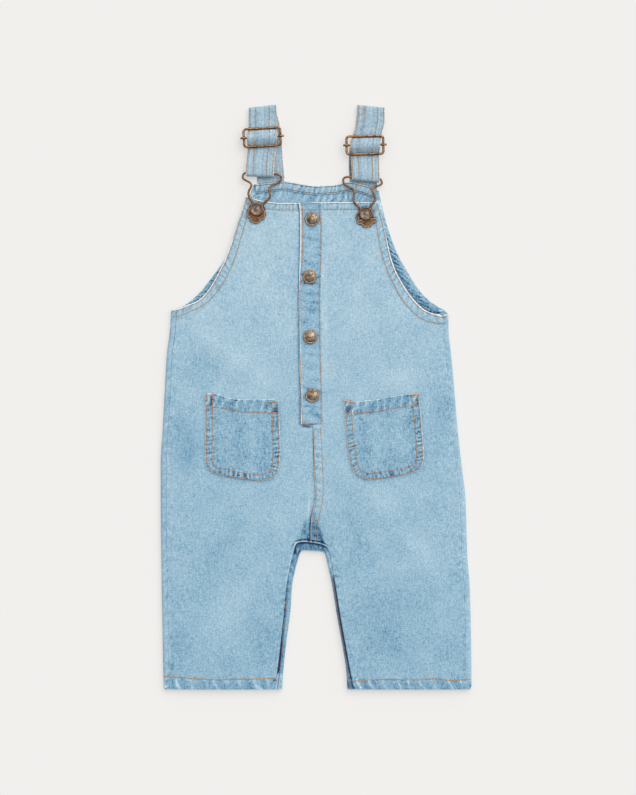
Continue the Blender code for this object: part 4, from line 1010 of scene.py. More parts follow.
def brass_look(name, bright, patina, cover, rim=None):
    """Antique brass: bright where it is rubbed, brown patina over the rest, a turned piece's rim in its own colour, and
    painted shade, near black, on faces turned away from the light.
    """
    look, tree, shader = new_look(name, 0.35, 0.92)
    spots = summed(tree, [(speckle(tree, 2.6, 4.0), 0.55), (speckle(tree, 0.8, 3.0), 0.45)])
    mask = ranged(tree, spots, cover - 0.07, cover + 0.07, 0.0, 1.0, True, True)
    mixed = node(tree, "ShaderNodeMix", {"data_type": "RGBA"}, {"A": (*patina, 1.0), "B": (*bright, 1.0)},
                 {"Factor": mask})
    colour = mixed.outputs["Result"]
    if rim:
        share = node(tree, "ShaderNodeAttribute", {"attribute_name": "rim"}).outputs["Fac"]
        share = ranged(tree, share, 0.84, 0.90, 0.0, 1.0, True, True)
        mixed = node(tree, "ShaderNodeMix", {"data_type": "RGBA"}, {"B": (*rim, 1.0)}, {"Factor": share, "A": colour})
        colour = mixed.outputs["Result"]
    # Painted shade: faces turned down and away from the light are mixed towards near black
    way = node(tree, "ShaderNodeTexCoord").outputs["Normal"]
    toward_light = node(tree, "ShaderNodeVectorMath", {"operation": "DOT_PRODUCT"}, {1: (-0.10, 0.40, 0.91)}, {0: way})
    unshaded = ranged(tree, toward_light.outputs["Value"], 0.34, 0.80, 0.0, 1.0, True, True)
    mixed = node(tree, "ShaderNodeMix", {"data_type": "RGBA"}, {"A": (0.035, 0.022, 0.015, 1.0)},
                 {"Factor": unshaded, "B": colour})
    colour = mixed.outputs["Result"]
    tree.links.new(colour, shader.inputs["Base Color"])
    tree.links.new(ranged(tree, mask, 0.0, 1.0, 0.5, 0.30), shader.inputs["Roughness"])
    bump = node(tree, "ShaderNodeBump", {}, {"Strength": 0.4, "Distance": 0.12 * MM}, {"Height": spots})
    tree.links.new(bump.outputs["Normal"], shader.inputs["Normal"])
    return look


def look_of(name):
    """The finish of that name, made when it is first asked for."""
    found = bpy.data.materials.get(name + "_finish")
    if found:
        return found
    colours = bpy.context.scene.dungarees_colours
    makers = {
        "denim": lambda full: denim_look(full, 0.53, 1.0, 0.42, 0.34, 0.64),
        "pocket_denim": lambda full: denim_look(full, 0.39, 1.15, 0.44, 0.36, 0.60),
        "inside_denim": lambda full: denim_look(full, 0.42, 1.2, 0.46, 0.40, 0.60),
        "strap_denim": lambda full: denim_look(full, 0.50, 1.2, 0.30, 0.36, 0.45, 0.20),
        "thread": lambda full: thread_look(full, colours.thread),
        "dull_thread": lambda full: thread_look(full, colours.dull_thread),
        "bartack": lambda full: thread_look(full, colours.bartack),
        "brass": lambda full: brass_look(full, colours.copper, colours.patina, 0.49),
        "clip_brass": lambda full: brass_look(full, colours.clip, colours.patina, 0.49),
        "cap_brass": lambda full: brass_look(full, colours.cap, colours.cap_patina, 0.49, colours.rim),
        "button_brass": lambda full: brass_look(full, colours.button, colours.button_patina, 0.49, colours.rim),
        "plate_brass": lambda full: brass_look(full, colours.plate, colours.button_patina, 0.47, colours.rim),
    }
    return makers[name](name + "_finish")


# ---------------------------------------------------------------- panels

def rows_of_body(pitch, start=()):
    """Shares of the way from the crotch's row up to the armhole corner's row."""
    length = BIB_ROW_Y - FRONT_SEAM[0][1]
    return spread(length, pitch, start=start)[1:] / length


def rows_of_leg(side, pitch):
    """Rows of the inner leg and crotch, closer together at the hem."""
    rows = np.array(LEG[side])
    length = lengths_along(rows)[-1]
    places = spread(length, pitch, start=(*EDGE_COLUMNS, 3.8, 5.2, 6.6, 7.8, 8.4, 9.0))
    return read_path(rows, places), places / length


def bend_to_top(x, y, ends, edge):
    """Heights of a panel's points after its top rows are bent to follow the real top edge."""
    straight = np.interp(x, *zip(*sorted(ends)))
    near_top = ease((y - straight + TOP_FIT) / TOP_FIT)
    return y + near_top * (height_of(edge, x) - straight)


def ruled(outer, inner, shares):
    """Points on the straight rows between two edges, at each row's own shares of its width."""
    return outer[:, None, :] + (inner - outer)[:, None, :] * shares[..., None]


def front_points(side, pitch):
    """Grid over half of the front, from the leg hem to the bib's top edge."""
    sign = SIGN[side]
    leg, leg_shares = rows_of_leg(side, pitch)
    corner_y = FRONT_ARMHOLE[side][0][1]
    armhole = np.array(FRONT_ARMHOLE[side])
    length = lengths_along(armhole)[-1]
    bib_places = spread(length, pitch, end=(*EDGE_COLUMNS, 3.8, 5.0, 5.8, 6.6))[1:]
    body = rows_of_body(pitch, (0.4, 0.9, 1.4, 1.9, 2.4, 3.0, 4.0))
    side_y = np.concatenate((HEM_Y + leg_shares * (CROTCH_ROW_Y - HEM_Y), CROTCH_ROW_Y + body * (corner_y - CROTCH_ROW_Y)))
    seam_x = outline_x(side, side_y) - sign * SIDE_SEAM_INSET
    outer = np.vstack((np.column_stack((seam_x, side_y)), read_path(armhole, bib_places)))

    centre_y = np.concatenate((FRONT_SEAM[0][1] + body * (BIB_ROW_Y - FRONT_SEAM[0][1]),
                               BIB_ROW_Y + bib_places / length * (BIB_TOP_Y - BIB_ROW_Y)))
    centre_x = front_seam_x(centre_y) + sign * GAP / 3.0
    inner = np.vstack((leg[:, 2:], np.column_stack((centre_x, centre_y))))
    inner[len(leg) - 1, 0] = centre_x[0]

    widths = np.hypot(*(inner - outer).T)
    slants = np.ones(len(outer))
    tangents = np.gradient(outer, axis=0)[-len(bib_places):]
    across = (inner - outer)[-len(bib_places):]
    crossing = np.abs(tangents[:, 0] * across[:, 1] - tangents[:, 1] * across[:, 0])
    crossing = crossing / np.hypot(*tangents.T) / widths[-len(bib_places):]
    slants[-len(bib_places):] = 1.0 / np.maximum(crossing, STEEPEST_ROW)
    border = (*EDGE_COLUMNS, 3.4, 4.6, 5.8, 6.4, 7.0)
    columns = len(spread(widths.max(), pitch, start=border, end=border))
    shares = np.empty((len(outer), columns))
    for row, (width, slant) in enumerate(zip(widths, slants)):
        first = [0.0, *(distance * slant for distance in border)]
        last = [*(width - distance for distance in reversed(border)), width]
        middle = np.linspace(first[-1], last[0], columns - len(first) - len(last) + 2)[1:-1]
        shares[row] = np.array([*first, *middle, *last]) / width
    flat = ruled(outer, inner, shares)
    y = bend_to_top(flat[..., 0], flat[..., 1], [tuple(outer[-1]), tuple(inner[-1])], BIB_TOP)
    return flat[..., 0], y


def strip_level(x, y, inset, to_seam, slot):
    """Height of the back panel's strip that is rolled over to the front, sunk by the slot along its seam."""
    edge = edge_distance(x, y)
    level = front_level(x, y, edge) + hem_raise(x, y) - rounded(inset, ROLL)
    dip = slot * ease((2.6 - to_seam) / 1.6)
    return level - dip * ease((inset - 1.0) / 1.5)


def strip_shade(side, y):
    """Openness of the slot beside the inner leg's seam, and the painted shade of its strip."""
    rows = np.array(INNER_STRIP[side])
    return read_curve(rows[:, 0], rows[:, 1:], y)


def rolled_edge(outline, seam, slot):
    """Section of the back panel up round its edge and in to the seam: points, and distance from the seam."""
    inward = seam - outline
    width = np.hypot(*inward.T)
    inward = inward / width[:, None]
    width = width - SEAM_GAP
    sections = []
    to_seam = []
    for angle in np.radians(np.linspace(0.0, 90.0, 9)[:-1]):
        place = outline + inward * ROLL * (1.0 - math.sin(angle))
        sections.append(np.column_stack((place, np.full(len(outline), ROLL * (1.0 - math.cos(angle))))))
        to_seam.append(np.full(len(outline), 9.0))
    insets = [np.full(len(outline), inset) for inset in (0.0, 0.08, 0.25, 0.5, 0.85, 1.3, 1.8, 2.4)]
    insets += [2.4 + (width - 2.4) * share for share in (0.2, 0.4, 0.55, 0.7, 0.82, 0.92, 1.0)]
    for inset in insets:
        place = outline + inward * inset[:, None]
        sections.append(np.column_stack((place, strip_level(place[:, 0], place[:, 1], inset, width - inset, slot))))
        to_seam.append(width - inset)
    return np.stack(sections, axis=1), np.stack(to_seam, axis=1)


def back_rows(side):
    """Paths of the rows of stitching on the outside of one back panel: both sides of its seam, hem and top."""
    sign = SIGN[side]
    armhole = BACK_ARMHOLE[side]
    seam = [(BACK_SEAM_X + sign * (1.8 if side == "right" else 0.9), y) for y in (-120.0, 30.0, 186.0)]
    rows = [dense(seam, 2.0), dense([(x, y + 0.3) for x, y in LEG_HEM_ROW[side]], 2.0)]
    rows += [moved(armhole, offset, -sign) for offset in NECK_ROWS]
    if side == "right":
        rows.append(dense([(x + 5.2, y) for x, y in seam], 2.0))
    for offset in NECK_ROWS:
        row = dense([(x, y - offset) for x, y in BACK_TOP], 2.0)
        rows.append(row[(row[:, 0] - BACK_SEAM_X) * sign > 0.5])
    return rows


def back_piece(side, pitch, wall):
    """Half of the back: flat below, rolled up round its side, inner leg and crotch."""
    sign = SIGN[side]
    leg, leg_shares = rows_of_leg(side, pitch)
    body = rows_of_body(pitch)
    leg_y = HEM_Y + leg_shares * (CROTCH_ROW_Y - HEM_Y)
    rolled_y = np.concatenate((leg_y, CROTCH_ROW_Y + body * (OUTLINE[side][-1][1] - CROTCH_ROW_Y)))
    seam_y = np.concatenate((leg_y, CROTCH_ROW_Y + body * (FRONT_ARMHOLE[side][0][1] - CROTCH_ROW_Y)))
    side_x = outline_x(side, rolled_y)
    outer_roll, outer_seam = rolled_edge(np.column_stack((side_x, rolled_y)),
                                         np.column_stack((side_x - sign * SIDE_SEAM_INSET, seam_y)), SIDE_DIP)
    inner_roll, inner_seam = rolled_edge(leg[:, :2], leg[:, 2:], STRIP_DIP * strip_shade(side, leg[:, 1])[:, 0])
    roll = outer_roll.shape[1]

    armhole = np.vstack((outer_roll[-1, 0, :2], BACK_ARMHOLE[side]))
    length = lengths_along(armhole)[-1]
    bib_places = spread(length, pitch, end=EDGE_COLUMNS)[1:]
    outer = np.vstack((outer_roll[:, 0, :2], read_path(armhole, bib_places)))
    crotch_y = inner_roll[-1, 0, 1]
    centre_y = np.concatenate((crotch_y + body * (BIB_ROW_Y - crotch_y),
                               BIB_ROW_Y + bib_places / length * (BACK_TOP_Y - BIB_ROW_Y)))
    centre_x = np.interp(centre_y, (crotch_y, crotch_y + 60.0), (leg[-1, 0], BACK_SEAM_X)) + sign * GAP / 3.0
    inner_roll[-1, :, 0] = inner_roll[-1, :, 0] + sign * GAP / 3.0
    inner = np.vstack((inner_roll[:, 0, :2], np.column_stack((centre_x, centre_y))))

    width = np.hypot(*(inner - outer).T).max()
    shares = np.tile(spread(width, pitch, start=(0.4, 1.0), end=(0.4, 1.0)) / width, (len(outer), 1))
    flat = ruled(outer, inner, shares)
    flat_y = bend_to_top(flat[..., 0], flat[..., 1], [tuple(outer[-1]), tuple(inner[-1])], BACK_TOP)
    flat = np.dstack((flat[..., 0], flat_y, np.zeros(flat.shape[:2])))

    rows = len(outer)
    columns = flat.shape[1] + 2 * (roll - 1)
    points = np.zeros((rows, columns, 3))
    kept = np.zeros((rows, columns), dtype=bool)
    to_seam = np.full((rows, columns), 9.0)
    middle = slice(roll - 1, columns - roll + 1)
    points[:, middle] = flat
    kept[:, middle] = True
    points[:len(outer_roll), :roll - 1] = outer_roll[:, :0:-1]
    to_seam[:len(outer_roll), :roll - 1] = outer_seam[:, :0:-1]
    kept[:len(outer_roll), :roll - 1] = True
    points[:len(inner_roll), columns - roll + 1:] = inner_roll[:, 1:]
    to_seam[:len(inner_roll), columns - roll + 1:] = inner_seam[:, 1:]
    kept[:len(inner_roll), columns - roll + 1:] = True

    marks = Marks((rows, columns))
    x, y, z = np.moveaxis(points, 2, 0)
    on_strip = (to_seam < 8.5) & (z > ROLL)
    # Painted shadow in a line along the crotch band's turned edge, with a pale line just above it
    shadow_and_pale_line = 1.3 * bell((y + 138.6 + 0.12 * (x + 17.0)) / 0.7) - 1.0 * bell((y + 136.9 + 0.12 * (x + 17.0)) / 0.7)
    along = np.cumsum(np.hypot(*np.gradient(outer, axis=0).T))[:, None] * np.ones((1, columns))
    marks.border("side", np.where(on_strip, to_seam, 30.0), along)
    marks.height[:] = 0.0
    marks.worn[:] = 9.0
    shade = strip_shade(side, y)
    crotch = ease((x + 22.0) / 3.0) * ease((10.5 - x) / 3.0) * ease((y + 142.0) / 3.0)
    from_edge = beside(leg[:, :2], x, y)[0]
    # Painted shade on the inner leg's strip, darkest in the slot by its seam; over the crotch band more painted shade,
    # a darker line at its seam and a pale line along its edge
    inner_tone = shade[..., 1] + 1.7 * shade[..., 0] * bell(to_seam / 1.4)
    inner_tone = inner_tone + crotch * (0.55 + 0.9 * bell(to_seam / 1.1) - 1.9 * bell((from_edge - 0.3) / 0.6))
    inner_tone = inner_tone + shadow_and_pale_line * (x < -14.5)
    inner_half = (np.arange(columns) > columns // 2)[None, :]
    # Painted shade in the slot along the side seam, and over the left hip
    outer_tone = 0.08 * bell(to_seam / 1.2) + (0.14 * bell((y + 85.0) / 60.0) if side == "left" else 0.0)
    marks.tone -= np.where(on_strip, np.where(inner_half, inner_tone, outer_tone), 0.0)
    distance, passed = beside(dense(BACK_TOP, 3.0), x, y)
    marks.border("neck_inside", distance, passed, (z < 0.1) * (y > 150.0) * ease((20.0 - distance) / 8.0))
    distance, passed = beside(np.array([(sign * 140.0, HEM_Y), (leg[0, 0], HEM_Y)])[::int(-sign)], x, y)
    marks.border("leg", distance, passed)
    distance, passed = beside(dense(armhole_edge(side), 3.0), x, y)
    marks.border("armhole", distance, passed, on_strip * (y > 50.0))
    above = Marks((rows, columns))
    above.rows(front_rows(side)[:2], x, y)
    marks.tone += np.where(on_strip, above.tone, 0.0)
    below = Marks((rows, columns))
    below.rows(back_rows(side), x, y, 0.25)
    points[..., 2] = np.where(z < 0.5, -below.height, z)
    marks.tone += np.where(z < 0.5, below.tone, 0.0)
    return cloth("back_%s_cloth" % side, points, marks, wall, look_of("denim"), ("back_" + side,), 1.0, kept)


# ---------------------------------------------------------------- pieces sewn onto the panels

def placket_top(x, y):
    """Height of the button strip: folded at its left, flush with the front at its right."""
    rows = np.array(PLACKET)
    bounds = read_curve(rows[:, 0], rows[:, 1:], y)
    from_left = x - bounds[..., 0]
    from_right = bounds[..., 1] - x
    lift = 0.28 + 1.15 * ease(from_right / 13.0)
    ends = np.minimum(y - rows[0, 0], height_of(BIB_TOP, x) - y)
    lift = lift - rounded(from_left, 0.9) - 0.35 * rounded(np.maximum(ends, 0.0), 0.6)
    waves = 0.12 * np.sin(y / 5.1 + 0.8) * np.sin(y / 13.7) + 0.10 * np.sin(y / 8.3 + x / 9.0)
    return front_level(x, y, edge_distance(x, y)) + lift + waves * ease(from_left / 3.0) * ease(from_right / 3.0)


def placket_piece(pitch, wall):
    rows = np.array(PLACKET)
    length = rows[-1, 0] - rows[0, 0]
    levels = spread(length, pitch, start=(0.2, 0.5, 1.0), end=(0.2, 0.5, 1.0)) + rows[0, 0]
    edges = read_curve(rows[:, 0], rows[:, 1:], levels)
    width = (edges[:, 1] - edges[:, 0]).max()
    shares = spread(width, pitch, start=(0.08, 0.25, 0.5, 0.9), end=(0.3, 0.8)) / width
    flat = ruled(np.column_stack((edges[:, 0], levels)), np.column_stack((edges[:, 1], levels)),
                 np.tile(shares, (len(levels), 1)))
    x, y = np.moveaxis(flat, 2, 0)
    marks = Marks(x.shape)
    marks.height += placket_top(x, y)
    from_left = x - edges[:, :1]
    marks.border("placket", from_left, y)
    marks.rows([dense(row, 2.0) for row in (*PLACKET_ROWS, PLACKET_FOOT)], x, y, 0.10)
    for place_x, place_y in SNAPS:
        away = np.hypot(x - place_x, y - place_y)
        # Painted shadow round each snap
        marks.tone -= 0.28 * bell((away - SNAP_RADIUS) / 1.4)
        marks.height -= 0.25 * bell((away - SNAP_RADIUS - 0.6) / 2.2)
    marks.tone -= 0.12 + 0.14 * ease((y - 30.0) / 40.0) - 0.7 * bell((from_left - 0.9) / 0.8)
    marks.tone += soft_lines(PLACKET_TONES, x, y)
    return cloth("placket_cloth", np.dstack((x, y, marks.height)), marks, wall, look_of("denim"), ("placket",))


def pocket_top(side, x, y):
    """Height of a pocket: sewn down round its edge, a little proud at its mouth."""
    to_edge = beside(pocket_outline(side), x, y)[0]
    to_mouth = beside(dense(POCKET_TOP[side], 2.0), x, y)[0]
    hem = ease((POCKET_HEM - to_mouth) / 1.2)
    border = ease((POCKET_BORDER - to_edge) / 1.2)
    lift = 0.75 + 0.25 * np.maximum(hem, border) + 0.55 * ease((to_edge - 8.0) / 18.0)
    lift = lift + 0.45 * ease((12.0 - to_mouth) / 12.0) * ease((to_edge - 6.0) / 16.0)
    lift = lift - rounded(to_edge, 0.7) - rounded(to_mouth, 0.6)
    return front_shape(x, y) + lift, to_edge, to_mouth


def pocket_piece(side, pitch, wall):
    """Patch pocket with rounded lower corners and a hemmed mouth."""
    rows = np.array(POCKET[side])
    middle = (rows[:, :2] + rows[:, 2:]) / 2.0
    table = np.column_stack((middle, rows))
    end = (0.15, 0.35, 0.6, 1.0)
    edges = read_path(table, spread(lengths_along(table)[-1], pitch, start=(0.1, 0.3, 0.6, 1.0, 1.5), end=end))[:, 2:]
    width = np.hypot(edges[:, 2] - edges[:, 0], edges[:, 3] - edges[:, 1]).max()
    shares = spread(width, pitch, start=end, end=end) / width
    flat = ruled(edges[:, :2], edges[:, 2:], np.tile(shares, (len(edges), 1)))
    x = flat[..., 0]
    y = bend_to_top(x, flat[..., 1], [tuple(edges[-1, :2]), tuple(edges[-1, 2:])], POCKET_TOP[side])
    marks = Marks(x.shape)
    height, to_edge, to_mouth = pocket_top(side, x, y)
    marks.height += height
    distance, along = beside(dense(POCKET_TOP[side], 2.0), x, y)
    marks.border("pocket_hem", distance, along)
    distance, along = beside(pocket_outline(side), x, y)
    marks.border("pocket", distance, along)
    border = pocket_outline(side)
    marks.rows([moved(border, offset, -1.0) for offset in POCKET_ROWS] + [dense(POCKET_HEM_ROW[side], 2.0)], x, y, 0.1)
    tilt = (x - x.mean()) / 40.0
    marks.tone += 0.10 * np.sin(x / 3.6 + y / 40.0) * ease((to_edge - 6.0) / 4.0) * ease((to_mouth - 8.0) / 6.0)
    marks.tone += 0.16 * bell((tilt - 0.1) / 0.6) * bell((y + 36.0) / 16.0)
    return cloth("pocket_%s_cloth" % side, np.dstack((x, y, marks.height)), marks, wall, look_of("pocket_denim"),
                 ("pocket_" + side,))


def facing_bed(name):
    """Path of the edge that a facing lies along, and the hand on which its cloth lies."""
    if name == "back_top_facing":
        x = np.linspace(BACK_TOP[0][0] + 0.2, BACK_TOP[-1][0] - 0.4, 130)
        return np.column_stack((x, height_of(BACK_TOP, x))), 1.0
    side = name.rsplit("_", 1)[1]
    armhole = np.array([OUTLINE[side][-1], *BACK_ARMHOLE[side]])
    length = lengths_along(armhole)[-1]
    path = read_path(armhole, np.linspace(0.6, length - FACING_DEPTH - 0.4, 136))
    return (path, 1.0) if side == "left" else (path, -1.0)


def facing_piece(name, kind, wall):
    """A turned-in facing along the back's neck or armhole."""
    path, hand = facing_bed(name)
    tangents = np.gradient(path, axis=0)
    tangents = tangents / np.hypot(*tangents.T)[:, None]
    aside = hand * np.column_stack((tangents[:, 1], -tangents[:, 0]))
    depths = spread(FACING_DEPTH - 0.1, 0.8, start=(0.1, 0.3, 0.6), end=(0.1, 0.3, 0.6)) + 0.1
    flat = path[:, None, :] + aside[:, None, :] * depths[None, :, None]
    x, y = np.moveaxis(flat, 2, 0)
    marks = Marks(x.shape)
    distance = np.tile(depths, (len(path), 1))
    along = lengths_along(path)[:, None] * np.ones((1, len(depths)))
    marks.border(kind, distance, along)
    marks.height += FACING_LEVEL - rounded(distance, 0.7) - 0.55 * ease((distance - 3.0) / 4.0)
    marks.height -= 0.3 * rounded(FACING_DEPTH - distance, 0.5)
    if kind == "neck":
        marks.rows([path + aside * offset for offset in NECK_ROWS], x, y, 0.12)
    else:
        # Pale near the armhole's edge and painted shade deeper in, under the front's edge; lighter towards the top and
        # darker on the left
        marks.tone += 0.25 - 0.6 * ease((distance - 1.5) / 4.0) + 0.9 * ease((y - 158.0) / 14.0) - 0.3 * (x < 0.0)
    return cloth(name + "_cloth", np.dstack((x, y, marks.height)), marks, wall, look_of("inside_denim"),
                 (name,))


# ---------------------------------------------------------------- straps

def arc_of(centre_y, centre_z, radius, start, end, steps):
    """Points on an arc in the strap's side view, angles from +Y towards +Z in degrees."""
    angles = np.radians(np.linspace(start, end, steps))
    return [(centre_y + radius * math.cos(angle), centre_z + radius * math.sin(angle)) for angle in angles]


def strap_stations(side):
    """Stations of the strap's middle line, from the back's top edge to its sewn end: x, y, z, tilt."""
    places = STRAP[side]
    back_x, back_y = np.array(places["back"]).T
    fold_x, fold_y, fold_tilt = places["fold"]
    buckle_x, buckle_y, buckle_tilt = places["buckle"]
    loop_x, loop_y, loop_tilt = places["loop"]
    fold_centre = fold_y - STRAP_WALL / 2.0 - FOLD_RADIUS
    stations = [(x, y, BACK_STRAND, 0.0) for x, y in zip(back_x[:-1], back_y[:-1])]
    for y, z in arc_of(fold_centre, BACK_STRAND + FOLD_RADIUS, FOLD_RADIUS, -90.0, 90.0, 9):
        stations.append((fold_x, y, z, fold_tilt))
    front_top_y = fold_centre - 9.0
    stations.append((fold_x, front_top_y, BACK_STRAND + 2.0 * FOLD_RADIUS + 0.4, fold_tilt))

    middle = (UNDER_BAR + OVER_BAR) / 2.0
    weave = [(10.2, UNDER_BAR), (8.0, UNDER_BAR), (6.6, UNDER_BAR + 0.55), (4.7, middle), (2.6, OVER_BAR - 0.6),
             (1.2, OVER_BAR), (-1.2, OVER_BAR), (-2.6, OVER_BAR - 0.6), (-4.7, middle), (-6.6, UNDER_BAR + 0.55),
             (-8.0, UNDER_BAR), (-10.2, UNDER_BAR)]
    loop_centre = loop_y + STRAP_WALL / 2.0 + LOOP_RADIUS
    for offset, z in weave:
        share = np.clip((buckle_y + offset - fold_centre) / (loop_centre - fold_centre), 0.0, 1.0)
        run = loop_centre - fold_centre
        x = np.interp(share, (0.0, (buckle_y + 10.2 - fold_centre) / run, (buckle_y - fold_centre) / run, 1.0),
                      (fold_x, places["above"], buckle_x, loop_x))
        stations.append((float(x), buckle_y + offset, z, buckle_tilt))
    stations.append((loop_x, loop_centre + 5.0, LOOP_LEVEL + LOOP_RADIUS - 0.1, loop_tilt))
    for y, z in arc_of(loop_centre, LOOP_LEVEL, LOOP_RADIUS, 90.0, 270.0, 13):
        stations.append((loop_x, y, z, loop_tilt))
    stations.append((buckle_x, buckle_y - 10.0, RETURN_STRAND, buckle_tilt))
    stations.append((buckle_x, buckle_y - 5.0, RETURN_STRAND + 0.5, buckle_tilt))
    stations.append((buckle_x, buckle_y - 0.6, BUCKLE_LEVEL - SLIDE_WIRE / 2 - GAP - STRAP_WALL / 2, buckle_tilt))
    return np.array(stations)


def strap_grid(side, pitch, offsets):
    """Points of the strap at offsets from its middle line, the way out of its outer face, and its length."""
    stations = strap_stations(side)
    places = np.concatenate(([0.0], np.cumsum(np.sqrt((np.diff(stations[:, :3], axis=0) ** 2).sum(axis=1)))))
    along = spread(places[-1], pitch)
    line = read_curve(places, stations, along)
    tilt = np.radians(line[:, 3])
    across = np.column_stack((np.cos(tilt), np.sin(tilt), np.zeros(len(tilt))))
    wider = 1.0 + 0.11 * bell((line[:, 1] - STRAP[side]["buckle"][1]) / 6.5) * ease((line[:, 2] - UNDER_BAR + 1.0) / 0.8)
    points = line[:, None, :3] + across[:, None, :] * np.asarray(offsets)[None, :, None] * wider[:, None, None]
    tangents = np.gradient(line[:, :3], axis=0)
    outward = np.cross(tangents, across)
    outward = outward / np.sqrt((outward ** 2).sum(axis=1))[:, None]
    edge = height_of(BACK_TOP, points[0, :, 0]) + GAP / 2.0
    near = ease((14.0 - along) / 14.0)
    points[..., 1] += near[:, None] * (edge - points[0, :, 1])[None, :]
    return points, outward, along


def strap_piece(side, pitch, wall):
    """One strap: back strand, fold, front strand woven through the buckle, loop and return strand."""
    edge = (0.12, 0.35, 0.7, 1.1)
    offsets = spread(STRAP_WIDTH, pitch, start=edge, end=edge) - STRAP_WIDTH / 2.0
    points, outward, along = strap_grid(side, pitch, offsets)
    marks = Marks(points.shape[:2])
    from_edge = STRAP_WIDTH / 2.0 - np.abs(offsets)
    distance = np.tile(from_edge, (len(along), 1))
    length = along[:, None] + 3.0 * (offsets > 0.0)[None, :]
    marks.border("strap", distance, length)
    # Painted shade along the grooves of the strap's rows
    for offset in STRAP_ROWS:
        marks.tone -= 0.20 * bell((offsets - offset) / 1.1)[None, :]
    marks.tone += (0.22 * np.sin(1.9 * offsets + 0.6) + 0.16 * np.sin(0.83 * offsets + 2.1)
                   + 0.12 * np.sin(3.7 * offsets))[None, :] * ease((distance - 0.8) / 1.0)
    # Painted highlight where the strap bends up over the slide bar
    over = points[..., 2] > UNDER_BAR + 0.2
    marks.tone += 0.9 * bell((points[..., 1] - STRAP[side]["buckle"][1] - 5.8) / 0.9) * over
    # Painted shadow in the slot between the right strap's strands, along the back strand's left edge
    if side == "right":
        painted_slot_shadow = bell((points[..., 1] - 209.0) / 7.0) * (points[..., 2] < RETURN_STRAND)
        marks.tone -= 2.6 * painted_slot_shadow * ease((-10.8 - offsets) / 0.7)[None, :]
    shares = 1.0 - 0.85 * rounded(from_edge, 0.9) / 0.9
    for offset in STRAP_ROWS:
        shares = shares - 0.14 * bell((offsets - offset) / 0.8)
    shares = np.tile(np.clip(shares, 0.15, 1.0), (len(along), 1))
    return cloth("strap_%s_cloth" % side, points, marks, wall, look_of("strap_denim"), ("strap_" + side,),
                 0.0, None, shares)


def strap_seams(side, wall):
    """Rows of stitches on both faces of a strap."""
    points, outward, along = strap_grid(side, 1.0, STRAP_ROWS)
    fold = along[points[:, 0, 1].argmax()] + 1.5
    seams = []
    for index in range(len(STRAP_ROWS)):
        for face in (1.0, -1.0):
            lift = (0.43 + 0.35 * bell((along - fold) / 4.0) if face > 0.0 else np.full(len(along), 0.30)) * wall
            row = points[:, index] + face * outward * lift[:, None]
            seams.append((row[2:-2], face * outward[2:-2]))
    return seams


# ---------------------------------------------------------------- hardware

def set_down(points, x, y, z, turn):
    """Points of one place's hardware turned about Z and moved there."""
    points = np.asarray(points, dtype=float)
    angle = math.radians(turn)
    turned_x = points[:, 0] * math.cos(angle) - points[:, 1] * math.sin(angle)
    turned_y = points[:, 0] * math.sin(angle) + points[:, 1] * math.cos(angle)
    return np.column_stack((turned_x + x, turned_y + y, points[:, 2] + z))


def smooth_line(points, pitch):
    """A path with a point every pitch on smooth curves through the given points."""
    points = np.asarray(points, dtype=float)
    places = np.concatenate(([0.0], np.cumsum(np.sqrt((np.diff(points, axis=0) ** 2).sum(axis=1)))))
    return read_curve(places, points, np.linspace(0.0, places[-1], max(2, round(places[-1] / pitch))))


def buckle_pieces(side):
    """Rectangular wire frame, and the slide bar across its middle, rising over the frame's sides and ending just past
    them.
    """
    x, y, turn = STRAP[side]["buckle"]
    half_x = (BUCKLE_SIZE[0] - BUCKLE_WIRE) / 2.0
    half_y = (BUCKLE_SIZE[1] - BUCKLE_WIRE) / 2.0
    corner = 2.6
    outline = []
    for quarter, (across, up) in enumerate(((1, 1), (-1, 1), (-1, -1), (1, -1))):
        for angle in np.radians(np.linspace(0.0, 90.0, 9) + 90.0 * quarter):
            outline.append((across * (half_x - corner) + corner * math.cos(angle),
                            up * (half_y - corner) + corner * math.sin(angle), 0.0))
    brass = look_of("brass")
    wire("buckle_frame_%s_wire" % side, set_down(outline, x, y, BUCKLE_LEVEL, turn), BUCKLE_WIRE, brass,
         ("buckle_frame_" + side,), closed=True)
    over = BUCKLE_WIRE / 2.0 + SLIDE_WIRE / 2.0 + GAP + 0.15
    rise = [(12.9, 0.0), (14.3, 1.0), (half_x - 0.8, over - 0.1), (half_x + 0.7, over), (half_x + 2.6, over - 0.9)]
    bar = [(-across, 0.0, up) for across, up in reversed(rise)] + [(across, 0.0, up) for across, up in rise]
    wire("slide_bar_%s_wire" % side, set_down(smooth_line(bar, 0.5), x, y, BUCKLE_LEVEL, turn), SLIDE_WIRE, brass,
         ("slide_bar_" + side,))


def mirrored(half):
    """The right and left halves of an outline that starts and ends on its axis."""
    half = np.asarray(half)
    left = half[::-1].copy()
    left[:, 0] = -left[:, 0]
    return half, left


def bib_level(x, y):
    return float(front_level(np.array(x), np.array(y), edge_distance(np.array(x), np.array(y)))) + HEM_RAISE


